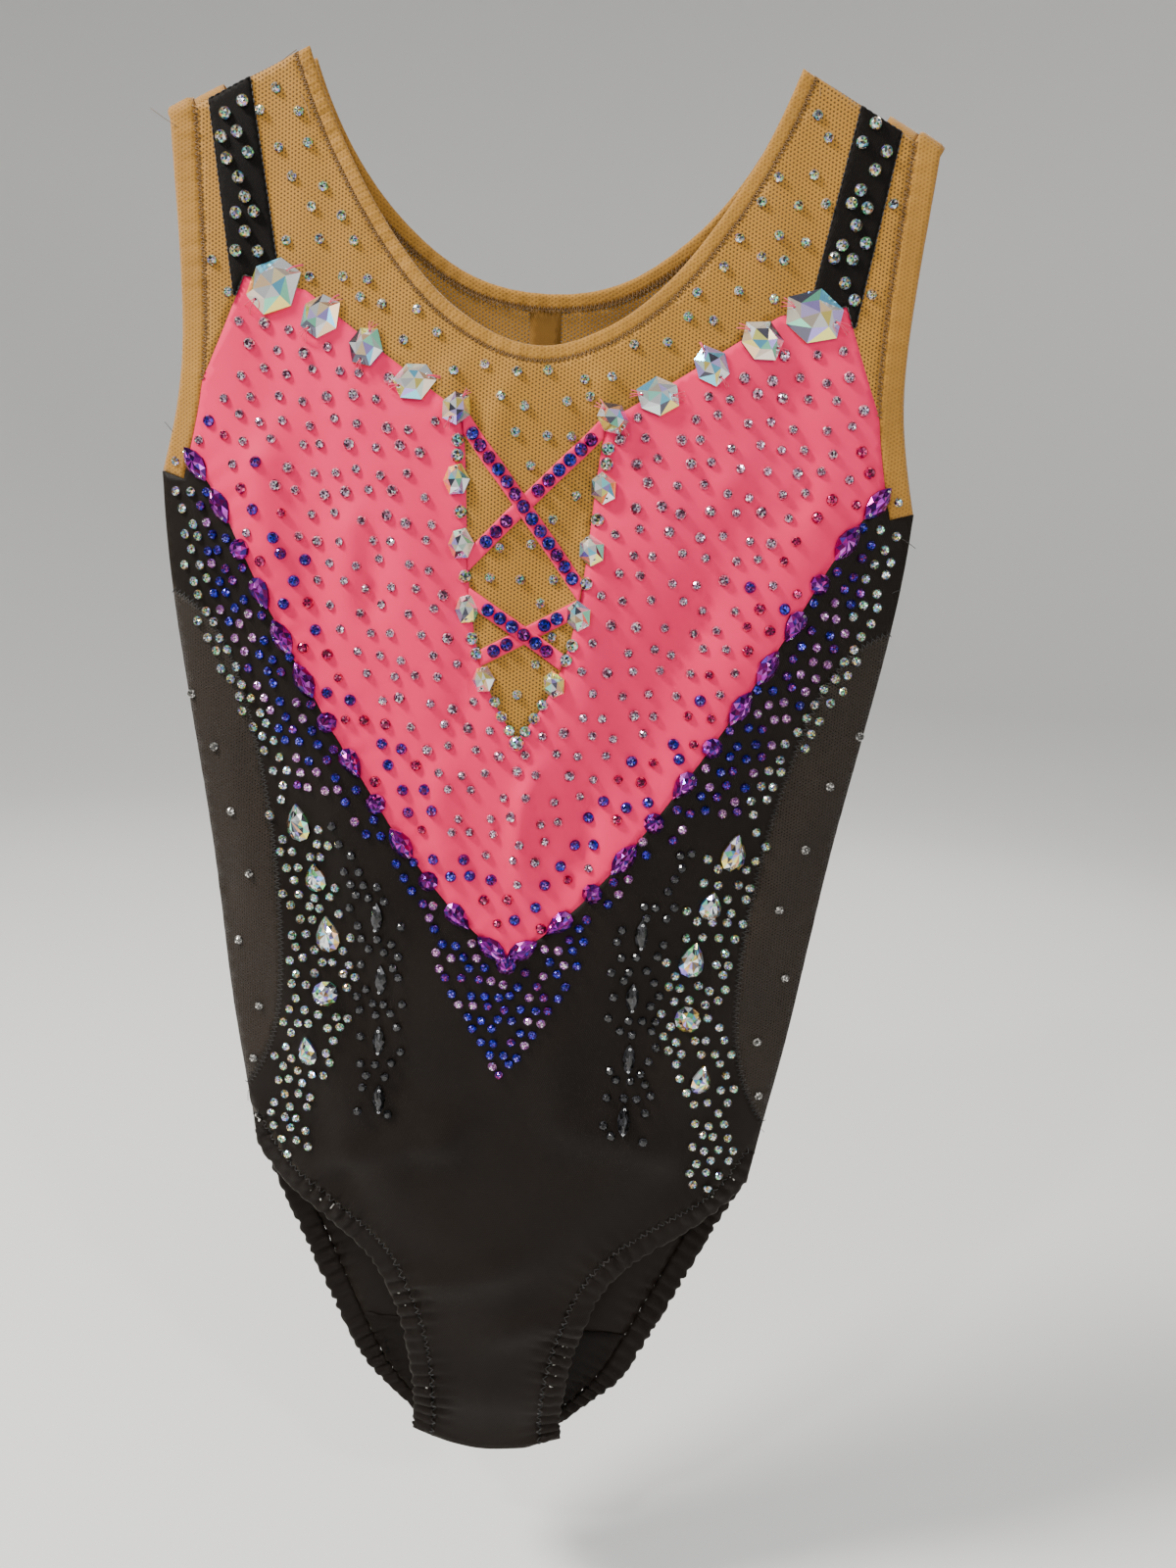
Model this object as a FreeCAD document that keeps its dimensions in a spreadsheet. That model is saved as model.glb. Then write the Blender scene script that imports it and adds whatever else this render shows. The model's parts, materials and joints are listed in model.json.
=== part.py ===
import FreeCAD, Part
import math
import os
import random

# Sleeveless gymnastics leotard, hanging by its shoulders, in millimetres.
# Origin: middle of the shoulder line. +X is the wearer's left, -Y the front, +Z up.
# The garment is two cloth faces that bow away from the mid-plane Y = 0 and meet at the side seams.
# Outlines are (x, z) points of the wearer's left half; the right half is their mirror image.

doc = FreeCAD.newDocument("GymnasticsLeotard")
dimensions = doc.addObject("Spreadsheet::Sheet", "Dimensions")

DIMENSIONS = {
    "cloth": 0.8,
    "strap_cloth": 0.7,
    "lining_cloth": 0.6,
    "label_cloth": 0.3,
    "binding_proud": 0.5,
    "binding_inside": 1.6,
    "neck_binding_width": 6.0,
    "armhole_binding_width": 10.5,
    "leg_hem_width": 10.5,
    "elastic_margin": 1.8,
    "elastic_proud": -0.1,
    "elastic_inside": 0.9,
    "tape_cloth": 0.5,
    "tape_width": 7.0,
    "seam_allowance": 5.0,
    "seam_thick": 0.6,
    "lattice_width": 6.2,
    "label_width": 13.0,
    "label_length": 24.0,
    "prism_depth": 160.0,
    "crystal_ss16": 4.0,
    "crystal_ss20": 4.8,
    "crystal_ss25": 5.4,
    "crystal_ss30": 6.4,
    "crystal_rise": 0.42,
    "crystal_table": 0.58,
    "chain_round": 8.8,
    "chain_length": 16.5,
    "chain_width": 8.4,
    "jet_length": 14.5,
    "jet_width": 5.6,
    "sewn_rise": 3.6,
}

# Levels at which the bow of each cloth face is set:
# height, half width, depth at the side, depth in the middle.
STATIONS = {
    "above": (14.0, 160.0, 5.5, 5.5),
    "shoulder": (-33.0, 156.0, 5.5, 5.6),
    "armhole": (-95.0, 153.0, 3.6, 12.0),
    "underarm": (-166.0, 157.0, 1.2, 19.5),
    "chest": (-240.0, 149.0, 1.2, 22.5),
    "waist": (-361.0, 130.0, 1.2, 20.0),
    "hip": (-468.0, 114.0, 1.2, 17.0),
    "leg": (-548.0, 96.0, 2.6, 12.5),
    "crotch": (-603.0, 80.0, 6.0, 6.0),
    "below": (-640.0, 80.0, 6.0, 6.0),
}
STATION_COLUMNS = ("level", "half_width", "side_depth", "middle_depth")

row = 1
for alias, value in DIMENSIONS.items():
    dimensions.set(f"A{row}", alias)
    dimensions.set(f"B{row}", str(value))
    dimensions.setAlias(f"B{row}", alias)
    row += 1
for station, values in STATIONS.items():
    for column, value in zip(STATION_COLUMNS, values):
        dimensions.set(f"A{row}", f"{station} {column}")
        dimensions.set(f"B{row}", str(value))
        dimensions.setAlias(f"B{row}", f"{station}_{column}")
        row += 1
doc.recompute()


def size(alias):
    return float(getattr(dimensions, alias))


LEVELS = [[size(f"{station}_{column}") for column in STATION_COLUMNS] for station in STATIONS]

# ---------------------------------------------------------------- the bow of the cloth


def at_level(level, column):
    """One column of the stations at any level, on a smooth curve through them."""
    i = 0
    while i < len(LEVELS) - 2 and level < LEVELS[i + 1][0]:
        i += 1
    span = LEVELS[i][0] - LEVELS[i + 1][0]
    part = min(max((LEVELS[i][0] - level) / span, 0.0), 1.0)

    def slope(k):
        if k == 0 or k == len(LEVELS) - 1:
            return 0.0
        drop = LEVELS[k - 1][0] - LEVELS[k + 1][0]
        return (LEVELS[k + 1][column] - LEVELS[k - 1][column]) / drop

    start, end = LEVELS[i][column], LEVELS[i + 1][column]
    square, cube = part**2, part**3
    return (
        start * (2 * cube - 3 * square + 1)
        + end * (3 * square - 2 * cube)
        + slope(i) * span * (cube - 2 * square + part)
        + slope(i + 1) * span * (cube - square)
    )


def depth(x, z):
    """How far the outside of the cloth stands from the mid-plane."""
    side, middle = at_level(z, 2), at_level(z, 3)
    share = min(abs(x) / at_level(z, 1), 1.1)
    return side + (middle - side) * (1 - share**2)


SLAB_HALF_WIDTH = 168.0
SLAB_TOP = 14.0
SLAB_HEIGHT = 648.0


def slab(proud, inside, front=True):
    """Solid layer that follows the cloth face, from proud of its outside to a distance inside it."""
    columns = [SLAB_HALF_WIDTH * (i / 6 - 1) for i in range(13)]
    rows = [SLAB_TOP - SLAB_HEIGHT * k / 24 for k in range(25)]
    grid = [[FreeCAD.Vector(x, -depth(x, z) - proud, z) for z in rows] for x in columns]
    surface = Part.BSplineSurface()
    surface.interpolate(grid)
    solid = surface.toShape().extrude(FreeCAD.Vector(0, proud + inside, 0))
    if front:
        return solid
    return solid.mirror(FreeCAD.Vector(), FreeCAD.Vector(0, 1, 0))


# ---------------------------------------------------------------- outlines

NECK_POINT = (96.0, -2.0)
SHOULDER_POINT = (151.5, -31.0)
UNDERARM = (157.0, -166.0)
HIP = (114.0, -468.0)
FOLD = (39.5, -613.5)

FRONT_NECK = [NECK_POINT, (83, -33), (65.5, -62.5), (42.5, -90), (19, -105.5), (0, -110)]
BACK_NECK = [NECK_POINT, (81, -34), (52, -67), (24, -82), (0, -85)]
ARMHOLE = [SHOULDER_POINT, (149.5, -59.5), (147.6, -94), (148.5, -128), (152, -147), UNDERARM]
SIDE = [UNDERARM, (155, -197), (149, -240), (137, -311), (124, -407), (118, -441), HIP]
FRONT_LEG = [HIP, (84, -495), (57.7, -515), (43, -546), (36.5, -584), (37, -601), FOLD]
BACK_LEG = [HIP, (93, -515), (81, -543), (65, -577), (51, -600), FOLD]

PINK_TIP = (0.0, -267.0)
PINK_TOP = [(150, -153), (133, -118), (121, -88), (95, -93), (62, -116), (29, -138)]
KEYHOLE = [(29, -138), (24.5, -190), (17, -236), PINK_TIP]
CHAIN = [(152, -150), (134, -172), (113.7, -208), (91, -249), (61.5, -295), (26, -341), (0, -363)]
BACK_EDGE = [(160, -168), (120, -196), (60, -250), (0, -290)]
SIDE_MESH_EDGE = [(156, -214), (137.5, -224), (118, -262), (107, -310), (101, -365), (105, -410), (126, -446)]


def mirrored(points):
    return [(-x, z) for x, z in points]


def both(points):
    """Points from the right half to the left half, through the shared middle point."""
    return mirrored(points)[:-1] + points[::-1]


def flat(point):
    return FreeCAD.Vector(point[0], 0, point[1])


def curve(points):
    if len(points) == 2:
        return Part.LineSegment(flat(points[0]), flat(points[1]))
    spline = Part.BSplineCurve()
    spline.interpolate([flat(p) for p in points])
    return spline


def face_of(*runs):
    """Flat face inside the runs of points; each run is a smooth curve, or a straight line if it has two."""
    edges = [curve(points).toShape() for points in runs]
    return Part.Face(Part.Wire(Part.__sortEdges__(edges)))


def polygon(points):
    return Part.Face(Part.makePolygon([flat(p) for p in points + points[:1]]))


def side_step(spline, share, distance):
    """Point beside the curve, and the curve's direction there."""
    low, high = spline.FirstParameter, spline.LastParameter
    where = low + (high - low) * share
    along = spline.tangent(where)[0]
    across = FreeCAD.Vector(along.z, 0, -along.x)
    return spline.value(where) + across * distance, along


def band(points, near, far, before=0.0, after=0.0):
    """Flat face between two curves beside the given one, run on past its ends."""
    spline, steps = curve(points), 16
    rows = []
    for distance in (near, far):
        places = [side_step(spline, i / steps, distance) for i in range(steps + 1)]
        row = [p for p, _ in places]
        first, last = places[0], places[-1]
        if before:
            row = [first[0] - first[1] * before] + row
        if after:
            row = row + [last[0] + last[1] * after]
        rows.append([(p.x, p.z) for p in row])
    a, b = rows
    return face_of(a, [a[-1], b[-1]], b[::-1], [b[0], a[0]])


def other_half(shape):
    """The same shape on the wearer's right."""
    return shape.mirror(FreeCAD.Vector(), FreeCAD.Vector(1, 0, 0))


def largest(shape):
    """The one real face of a result, without the hairline slivers beside it."""
    return max(shape.Faces, key=lambda face: face.Area)


def garment(neck, leg):
    """Outline of one cloth face."""
    left = [[NECK_POINT, SHOULDER_POINT], ARMHOLE, SIDE, leg]
    right = [mirrored(run) for run in left]
    return face_of(both(neck), *left, *right, [FOLD, (-FOLD[0], FOLD[1])])


# ---------------------------------------------------------------- cloth pieces

made = {}


def keep(label, shape):
    """Sub-part whose shape is already worked out."""
    piece = doc.addObject("Part::Feature", label)
    piece.Shape = shape
    piece.Label = label
    piece.Placement = FreeCAD.Placement()
    made[label] = piece
    return piece


def cut_from(name, layer, outline):
    """The part of a layer that lies inside a flat outline."""
    pattern = doc.addObject("Part::Feature", f"{name}_pattern")
    pattern.Shape = outline.translated(FreeCAD.Vector(0, -size("prism_depth") / 2, 0))
    cutter = doc.addObject("Part::Extrusion", f"{name}_cutter")
    cutter.Base = pattern
    cutter.DirMode = "Custom"
    cutter.Dir = FreeCAD.Vector(0, 1, 0)
    cutter.setExpression("LengthFwd", "Dimensions.prism_depth")
    cloth = doc.addObject("Part::Common", f"{name}_cloth")
    cloth.Base = layer
    cloth.Tool = cutter
    return cloth


def layer(name, proud, inside, front):
    feature = doc.addObject("Part::Feature", name)
    feature.Shape = slab(proud, inside, front)
    return feature


def folded(shape, point, direction, angle):
    """The cloth at a fold line, turned about that line from the flat end of the shape."""
    normal = FreeCAD.Vector(direction.z, 0, -direction.x)
    pieces = []
    for face in shape.Faces:
        off = (face.CenterOfMass - point).dot(normal)
        if abs(off) < 1e-3 and abs(face.normalAt(0, 0).dot(normal)) > 0.999:
            pieces.append(face.revolve(point, direction, angle))
    return pieces


shoulder_run = FreeCAD.Vector(SHOULDER_POINT[0] - NECK_POINT[0], 0, SHOULDER_POINT[1] - NECK_POINT[1])
shoulder_run.normalize()
FOLD_LINES = {
    "left": (flat(NECK_POINT), shoulder_run),
    "right": (flat((-NECK_POINT[0], NECK_POINT[1])), FreeCAD.Vector(-shoulder_run.x, 0, shoulder_run.z)),
    "crotch": (FreeCAD.Vector(0, 0, FOLD[1]), FreeCAD.Vector(1, 0, 0)),
}


def with_folds(shape, lines, angle, front):
    """A cloth face with the quarter or half turn that it makes over each fold line."""
    turns = []
    for name in lines:
        point, direction = FOLD_LINES[name]
        upward = name != "crotch"
        forward = direction.x > 0
        sign = 1 if (upward == forward) == front else -1
        turns += folded(shape, point, direction, -sign * angle)
    joined = shape.fuse(turns) if turns else shape
    return joined.removeSplitter()


front_outline = garment(FRONT_NECK, FRONT_LEG)
back_outline = garment(BACK_NECK, BACK_LEG)
FACES = {"front": front_outline, "back": back_outline}

LAYERS = {}
for side_name, is_front in (("front", True), ("back", False)):
    for layer_name, proud, inside in (
        ("cloth", 0.0, size("cloth")),
        ("binding", size("binding_proud"), size("binding_inside")),
        ("elastic", size("elastic_proud"), size("elastic_inside")),
        ("strap", size("strap_cloth"), 0.0),
    ):
        LAYERS[side_name, layer_name] = layer(f"{side_name}_{layer_name}_layer", proud, inside, is_front)

# Bands along the edges of the cloth. The binding has an elastic inside it, a margin away from its own edges.
# Each kind has its width, its edge on the front and on the back, and how far it runs on past the edge's ends.
BINDINGS = {
    "neck": (size("neck_binding_width"), both(FRONT_NECK), both(BACK_NECK), 12, 12),
    "armhole": (size("armhole_binding_width"), ARMHOLE, ARMHOLE, 12, 0),
    "leg": (size("leg_hem_width"), FRONT_LEG, BACK_LEG, 14, 14),
}
FOLDS_OF = {"neck": ["left", "right"], "armhole": ["left"], "leg": ["crotch"]}


def edge_faces(kind, margin):
    """The band's flat outline on the front and on the back."""
    width, front_edge, back_edge, before, after = BINDINGS[kind]
    faces = {}
    for name, edge in (("front", front_edge), ("back", back_edge)):
        faces[name] = band(edge, margin, width - margin, before, after).common(FACES[name])
    return faces


def wrapped(name, layer_name, faces, folds):
    """One piece that runs along the front, over its folds and along the back."""
    halves = []
    for side_name, outline in faces.items():
        cloth = cut_from(f"{name}_{side_name}", LAYERS[side_name, layer_name], outline)
        doc.recompute()
        halves.append(with_folds(cloth.Shape, folds, 90, side_name == "front"))
    return halves[0].fuse(halves[1]).removeSplitter()


band_outlines = {kind: edge_faces(kind, 0.0) for kind in BINDINGS}


def both_sides(face):
    return [face, other_half(face)]


# Bindings, hems and the elastics inside them.
for kind, piece_name, elastic_name in (
    ("neck", "neck_binding", "neck_elastic"),
    ("armhole", "armhole_binding", "armhole_elastic"),
    ("leg", "leg_hem", "leg_elastic"),
):
    elastic = wrapped(elastic_name, "elastic", edge_faces(kind, size("elastic_margin")), FOLDS_OF[kind])
    casing = wrapped(piece_name, "binding", band_outlines[kind], FOLDS_OF[kind]).cut(elastic)
    if kind == "neck":
        keep(piece_name, casing)
        keep(elastic_name, elastic)
        continue
    keep(f"{piece_name}_left", casing)
    keep(f"{elastic_name}_left", elastic)
    keep(f"{piece_name}_right", other_half(casing))
    keep(f"{elastic_name}_right", other_half(elastic))

# Flat patterns of the panels. The V of black cloth starts at the chain; the pink lies above it.
BELOW = -660.0
WIDE = 190.0


def all_below(edge):
    """Everything lower than an edge that runs from the side to the middle."""
    top = [(WIDE, edge[0][1]), edge[0]]
    left_down = [(WIDE, BELOW), (WIDE, edge[0][1])]
    right_down = mirrored(left_down)[::-1]
    hem = [(-WIDE, BELOW), (WIDE, BELOW)]
    return face_of(top, edge, mirrored(edge)[::-1], mirrored(top)[::-1], right_down, hem, left_down)


pink_side = [(WIDE, PINK_TOP[0][1]), PINK_TOP[0]]
pink_pattern = face_of(
    pink_side, PINK_TOP[:3], PINK_TOP[2:4], PINK_TOP[3:], KEYHOLE,
    mirrored(KEYHOLE)[::-1], mirrored(PINK_TOP[3:])[::-1], mirrored(PINK_TOP[2:4])[::-1],
    mirrored(PINK_TOP[:3])[::-1], mirrored(pink_side)[::-1],
    [(-WIDE, PINK_TOP[0][1]), (-WIDE, BELOW)], [(-WIDE, BELOW), (WIDE, BELOW)], [(WIDE, BELOW), pink_side[0]],
)
side_mesh_pattern = face_of(
    SIDE_MESH_EDGE,
    [SIDE_MESH_EDGE[-1], (WIDE, -446)],
    [(WIDE, -446), (WIDE, SIDE_MESH_EDGE[0][1])],
    [(WIDE, SIDE_MESH_EDGE[0][1]), SIDE_MESH_EDGE[0]],
)
bands_front = [band_outlines["neck"]["front"]]
bands_back = [band_outlines["neck"]["back"]]
for kind in ("armhole", "leg"):
    bands_front += both_sides(band_outlines[kind]["front"])
    bands_back += both_sides(band_outlines[kind]["back"])

front_inside = largest(front_outline.cut(bands_front))
back_inside = largest(back_outline.cut(bands_back))
front_black_area = largest(front_inside.common(all_below(CHAIN)))
back_black_area = largest(back_inside.common(all_below(BACK_EDGE)))
pink_area = largest(front_inside.common(pink_pattern).cut(all_below(CHAIN)))
side_mesh_area = largest(front_black_area.common(side_mesh_pattern))
PANELS = {
    "front_yoke_mesh": ("front", largest(front_inside.cut(pink_pattern)), ["left", "right"]),
    "pink_satin_panel": ("front", pink_area, []),
    "side_mesh_left": ("front", side_mesh_area, []),
    "side_mesh_right": ("front", other_half(side_mesh_area), []),
    "front_body_black": ("front", largest(front_black_area.cut(both_sides(side_mesh_pattern))), ["crotch"]),
    "back_yoke_mesh": ("back", largest(back_inside.cut(all_below(BACK_EDGE))), ["left", "right"]),
    "back_body_black": ("back", back_black_area, ["crotch"]),
}
for label, (face_name, pattern, folds) in PANELS.items():
    cloth = cut_from(label, LAYERS[face_name, "cloth"], pattern)
    doc.recompute()
    keep(label, with_folds(cloth.Shape, folds, 90, face_name == "front"))

# Black strap over each shoulder, from the peak of the pink panel to the black back.
STRAP_TOP = [(121.8, 0.0), (138.0, -10.0)]
STRAP_FRONT = STRAP_TOP + [(125, -96), (105, -96)]
STRAP_BACK = STRAP_TOP + [(128, -220), (109, -220)]
strap_outlines = {
    "front": largest(front_inside.common(polygon(STRAP_FRONT)).cut(pink_pattern)),
    "back": largest(back_inside.common(polygon(STRAP_BACK)).cut(all_below(BACK_EDGE))),
}
strap = wrapped("strap", "strap", strap_outlines, ["left"])
keep("strap_left", strap)
keep("strap_right", other_half(strap))

# Narrow pink straps across the keyhole: each pair crosses, one strap over the other.
LATTICE = {
    "lattice_strap_upper_over": ("strap_over", (-31, -137), (26, -209)),
    "lattice_strap_upper_under": ("strap", (31, -137), (-27, -199)),
    "lattice_strap_lower_over": ("strap_over", (-24, -209), (22, -237)),
    "lattice_strap_lower_under": ("strap", (24, -211), (-21, -237)),
}
strap_cloth = size("strap_cloth")
LAYERS["front", "strap_over"] = layer("front_strap_over_layer", 2 * strap_cloth, -strap_cloth, True)
front_yoke_area = PANELS["front_yoke_mesh"][1]


def ribbon(start, end, width):
    """Outline of a straight narrow strap."""
    run, rise = end[0] - start[0], end[1] - start[1]
    length = math.hypot(run, rise)
    side = (-rise / length * width / 2, run / length * width / 2)
    corners = [(start, 1), (end, 1), (end, -1), (start, -1)]
    return polygon([(p[0] + sign * side[0], p[1] + sign * side[1]) for p, sign in corners])


for label, (layer_name, start, end) in LATTICE.items():
    outline = largest(ribbon(start, end, size("lattice_width")).common(front_yoke_area))
    cloth = cut_from(label, LAYERS["front", layer_name], outline)
    doc.recompute()
    keep(label, cloth.Shape)

# Pieces hidden inside: gusset lining, shoulder tapes, side seam allowances and the neck label.
INNER_GAP = 0.05
inside_of_cloth = size("cloth") + INNER_GAP


def inner_layers(name, thickness):
    for side_name, is_front in (("front", True), ("back", False)):
        feature = layer(f"{side_name}_{name}_layer", -inside_of_cloth, inside_of_cloth + thickness, is_front)
        LAYERS[side_name, name] = feature


inner_layers("lining", size("lining_cloth"))
inner_layers("tape", size("tape_cloth"))
inner_layers("label", size("label_cloth"))

GUSSET_FRONT = [(-70, -528), (70, -528), (70, BELOW), (-70, BELOW)]
GUSSET_BACK = [(-90, -556), (90, -556), (90, BELOW), (-90, BELOW)]
gusset_outlines = {
    "front": largest(front_inside.common(polygon(GUSSET_FRONT))),
    "back": largest(back_inside.common(polygon(GUSSET_BACK))),
}
keep("gusset_lining", wrapped("gusset_lining", "lining", gusset_outlines, ["crotch"]))

drop = (shoulder_run.z * size("tape_width"), -shoulder_run.x * size("tape_width"))
tape_ends = [NECK_POINT, SHOULDER_POINT]
tape_corners = tape_ends + [(x + drop[0], z + drop[1]) for x, z in reversed(tape_ends)]
tape_outlines = {
    "front": largest(front_inside.common(polygon(tape_corners))),
    "back": largest(back_inside.common(polygon(tape_corners))),
}
tape = wrapped("shoulder_tape", "tape", tape_outlines, ["left"])
keep("shoulder_tape_left", tape)
keep("shoulder_tape_right", other_half(tape))

seam_pattern = doc.addObject("Part::Feature", "side_seam_pattern")
seam_pattern.Shape = largest(band(SIDE, 0, size("seam_allowance")).common(front_inside).common(back_inside))
seam = doc.addObject("Part::Extrusion", "side_seam_allowance")
seam.Base = seam_pattern
seam.DirMode = "Custom"
seam.Dir = FreeCAD.Vector(0, 1, 0)
seam.Symmetric = True
seam.setExpression("LengthFwd", "Dimensions.seam_thick")
doc.recompute()
keep("side_seam_left", seam.Shape)
keep("side_seam_right", other_half(seam.Shape))

LABEL_TOP = -91.5
label_half, label_low = size("label_width") / 2, LABEL_TOP - size("label_length")
label_right = [(-label_half, label_low), (-label_half, LABEL_TOP)]
label_corners = label_right + [(-x, z) for x, z in reversed(label_right)]
label_cloth = cut_from("size_label_blank", LAYERS["back", "label"], polygon(label_corners))
doc.recompute()
keep("size_label_blank", label_cloth.Shape)

# ---------------------------------------------------------------- stones

STONE_LIFT = 0.15
GIRDLE = 1.0


def outward(x, z):
    """Direction out of the front of the cloth."""
    step = 0.5
    across = (depth(x + step, z) - depth(x - step, z)) / (2 * step)
    along = (depth(x, z + step) - depth(x, z - step)) / (2 * step)
    direction = FreeCAD.Vector(-across, -1, -along)
    return direction.normalize()


def seat(x, z, lift=0.0, heading=(1.0, 0.0)):
    """Where a stone sits on the front: its back on the cloth, its long side along the heading."""
    out = outward(x, z)
    turn = FreeCAD.Rotation(FreeCAD.Vector(heading[0], 0, heading[1]), FreeCAD.Vector(), out, "ZXY")
    return FreeCAD.Placement(FreeCAD.Vector(x, -depth(x, z), z) + out * (STONE_LIFT + lift), turn)


def round_stone(name, alias):
    """Flat-backed round crystal whose sizes follow the sheet."""
    stone = doc.addObject("Part::Cone", name)
    stone.setExpression("Radius1", f"Dimensions.{alias} / 2")
    stone.setExpression("Radius2", f"Dimensions.{alias} / 2 * Dimensions.crystal_table")
    stone.setExpression("Height", f"Dimensions.{alias} * Dimensions.crystal_rise")
    return stone


def gem(outline, rise, table):
    """Flat-backed cut stone: an upright girdle, then facets up to a smaller table."""
    rings = []
    for scale, level in ((1.0, 0.0), (1.0, GIRDLE), (table, rise)):
        corners = [FreeCAD.Vector(x * scale, y * scale, level) for x, y in outline]
        rings.append(Part.makePolygon(corners + corners[:1]))
    return Part.makeLoft(rings, True, True)


def round_outline(across, sides=10):
    turns = [2 * math.pi * i / sides for i in range(sides)]
    return [(across / 2 * math.cos(t), across / 2 * math.sin(t)) for t in turns]


def navette_outline(length, width, sides=12):
    """Pointed at both ends, like two arcs."""
    turns = [2 * math.pi * i / sides for i in range(sides)]
    return [(length / 2 * math.cos(t), width / 2 * math.sin(t) * abs(math.sin(t))) for t in turns]


def drop_outline(length, width, sides=12):
    """Round at one end and pointed at the other."""
    turns = [2 * math.pi * i / sides for i in range(sides)]
    return [(length / 2 * math.cos(t), 0.65 * width * math.sin(t) * math.sin(t / 2)) for t in turns]


COSMIC_CUT = [(-0.50, 0.02), (-0.30, -0.38), (0.14, -0.46), (0.50, -0.12), (0.36, 0.34), (-0.12, 0.44)]
SEWING_HOLE = 0.55


def cosmic(length):
    """Lopsided six-sided sew-on stone with a sewing hole near each end."""
    stone = gem([(x * length, y * length * 0.9) for x, y in COSMIC_CUT], size("sewn_rise"), 0.5)
    for end in (-1, 1):
        hole = Part.makeCylinder(SEWING_HOLE, 12, FreeCAD.Vector(end * 0.37 * length, 0, -3))
        stone = stone.cut(hole)
    return stone


ROUND = {
    "ss16": round_stone("crystal_ss16_pattern", "crystal_ss16"),
    "ss20": round_stone("crystal_ss20_pattern", "crystal_ss20"),
    "ss25": round_stone("crystal_ss25_pattern", "crystal_ss25"),
    "ss30": round_stone("crystal_ss30_pattern", "crystal_ss30"),
}
doc.recompute()
chain_round = gem(round_outline(size("chain_round")), size("sewn_rise"), 0.5)
chain_navette = gem(navette_outline(size("chain_length"), size("chain_width")), size("sewn_rise"), 0.45)
chain_drop = gem(drop_outline(size("chain_length") * 0.85, size("chain_width")), size("sewn_rise"), 0.45)
jet_navette = gem(navette_outline(size("jet_length"), size("jet_width")), size("sewn_rise") * 0.8, 0.45)

groups = {}
taken = []


def put(group, pattern, radius, x, z, lift=0.0, heading=(1.0, 0.0)):
    """Add one stone to its group and remember the room it takes."""
    stone = pattern.copy()
    stone.Placement = seat(x, z, lift, heading)
    groups.setdefault(group, []).append(stone)
    taken.append((x, z, radius))


def put_round(group, grade, x, z, lift=0.0):
    put(group, ROUND[grade].Shape, ROUND[grade].Radius1.Value, x, z, lift)


def along(points, share):
    """Point and direction at a share of a curve's length."""
    spline = curve(points)
    where = spline.parameterAtDistance(spline.length() * share, spline.FirstParameter)
    point, direction = spline.value(where), spline.tangent(where)[0]
    return point.x, point.z, (direction.x, direction.z)


def is_free(x, z, radius, gap):
    return all(math.hypot(x - a, z - b) > radius + r + gap for a, b, r in taken)


def is_inside(corners, x, z):
    inside = False
    for (ax, az), (bx, bz) in zip(corners, corners[1:] + corners[:1]):
        if (az > z) != (bz > z) and x < ax + (z - az) / (bz - az) * (bx - ax):
            inside = not inside
    return inside


def edge_distance(corners, x, z):
    nearest = math.inf
    for (ax, az), (bx, bz) in zip(corners, corners[1:] + corners[:1]):
        run, rise = bx - ax, bz - az
        share = min(max(((x - ax) * run + (z - az) * rise) / (run**2 + rise**2 + 1e-9), 0), 1)
        nearest = min(nearest, math.hypot(x - ax - share * run, z - az - share * rise))
    return nearest


def outline_points(face, steps=90):
    return [(p.x, p.z) for p in face.OuterWire.discretize(Number=steps)]


def line_of(points, count):
    """Even places along the smooth curve through the points."""
    return [(p.x, p.z) for p in curve(points).discretize(Number=count)]


def scatter(corners, spacing, margin, seed):
    """Loose, even rows of places inside an outline, as a hand would set them."""
    chance = random.Random(seed)
    left, right = min(x for x, _ in corners), max(x for x, _ in corners)
    low, high = min(z for _, z in corners), max(z for _, z in corners)
    places = []
    row_height = spacing * 0.87
    for k in range(int((high - low) / row_height) + 1):
        for i in range(int((right - left) / spacing) + 2):
            x = left + (i + 0.5 * (k % 2)) * spacing + chance.uniform(-0.2, 0.2) * spacing
            z = high - k * row_height + chance.uniform(-0.2, 0.2) * spacing
            if is_inside(corners, x, z) and edge_distance(corners, x, z) > margin:
                places.append((x, z))
    return places


# Large cosmic stones along the top edge of the pink panel, smaller towards the keyhole.
SIDES = (("left", 1), ("right", -1))
COSMICS = [(108, -92, 25.0, -28), (88, -103, 18.5, -38), (69, -114, 16.5, -62), (48.5, -127, 18.0, -8),
           (31, -136.5, 14.0, -50)]
KEYHOLE_COSMICS = [(29.5, -164, 13.0), (26.5, -189, 13.0), (23, -215, 12.5), (14.5, -243, 11.5)]
KEYHOLE_ROUNDS = [(30.2, -148.5), (30, -154.5), (27.8, -176.5), (24.9, -202), (20.8, -227), (18.6, -233),
                  (9.9, -252), (6.8, -257.8), (3.4, -263.5)]
KEYHOLE_NARROWS = -240.0
for side_name, sign in SIDES:
    for x, z, length, tilt in COSMICS:
        heading = (sign * math.cos(math.radians(tilt)), math.sin(math.radians(tilt)))
        put(f"cosmic_stones_{side_name}", cosmic(length), length * 0.45, sign * x, z, 0.0, heading)
    for x, z, length in KEYHOLE_COSMICS:
        put("keyhole_cosmic_stones", cosmic(length), length * 0.45, sign * x, z, 0.0, (sign * 0.2, -1.0))
    for x, z in KEYHOLE_ROUNDS:
        put_round("keyhole_round_stones", "ss25" if z > KEYHOLE_NARROWS else "ss20", sign * x, z)
put_round("keyhole_round_stones", "ss30", 0, -268.5)

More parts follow.
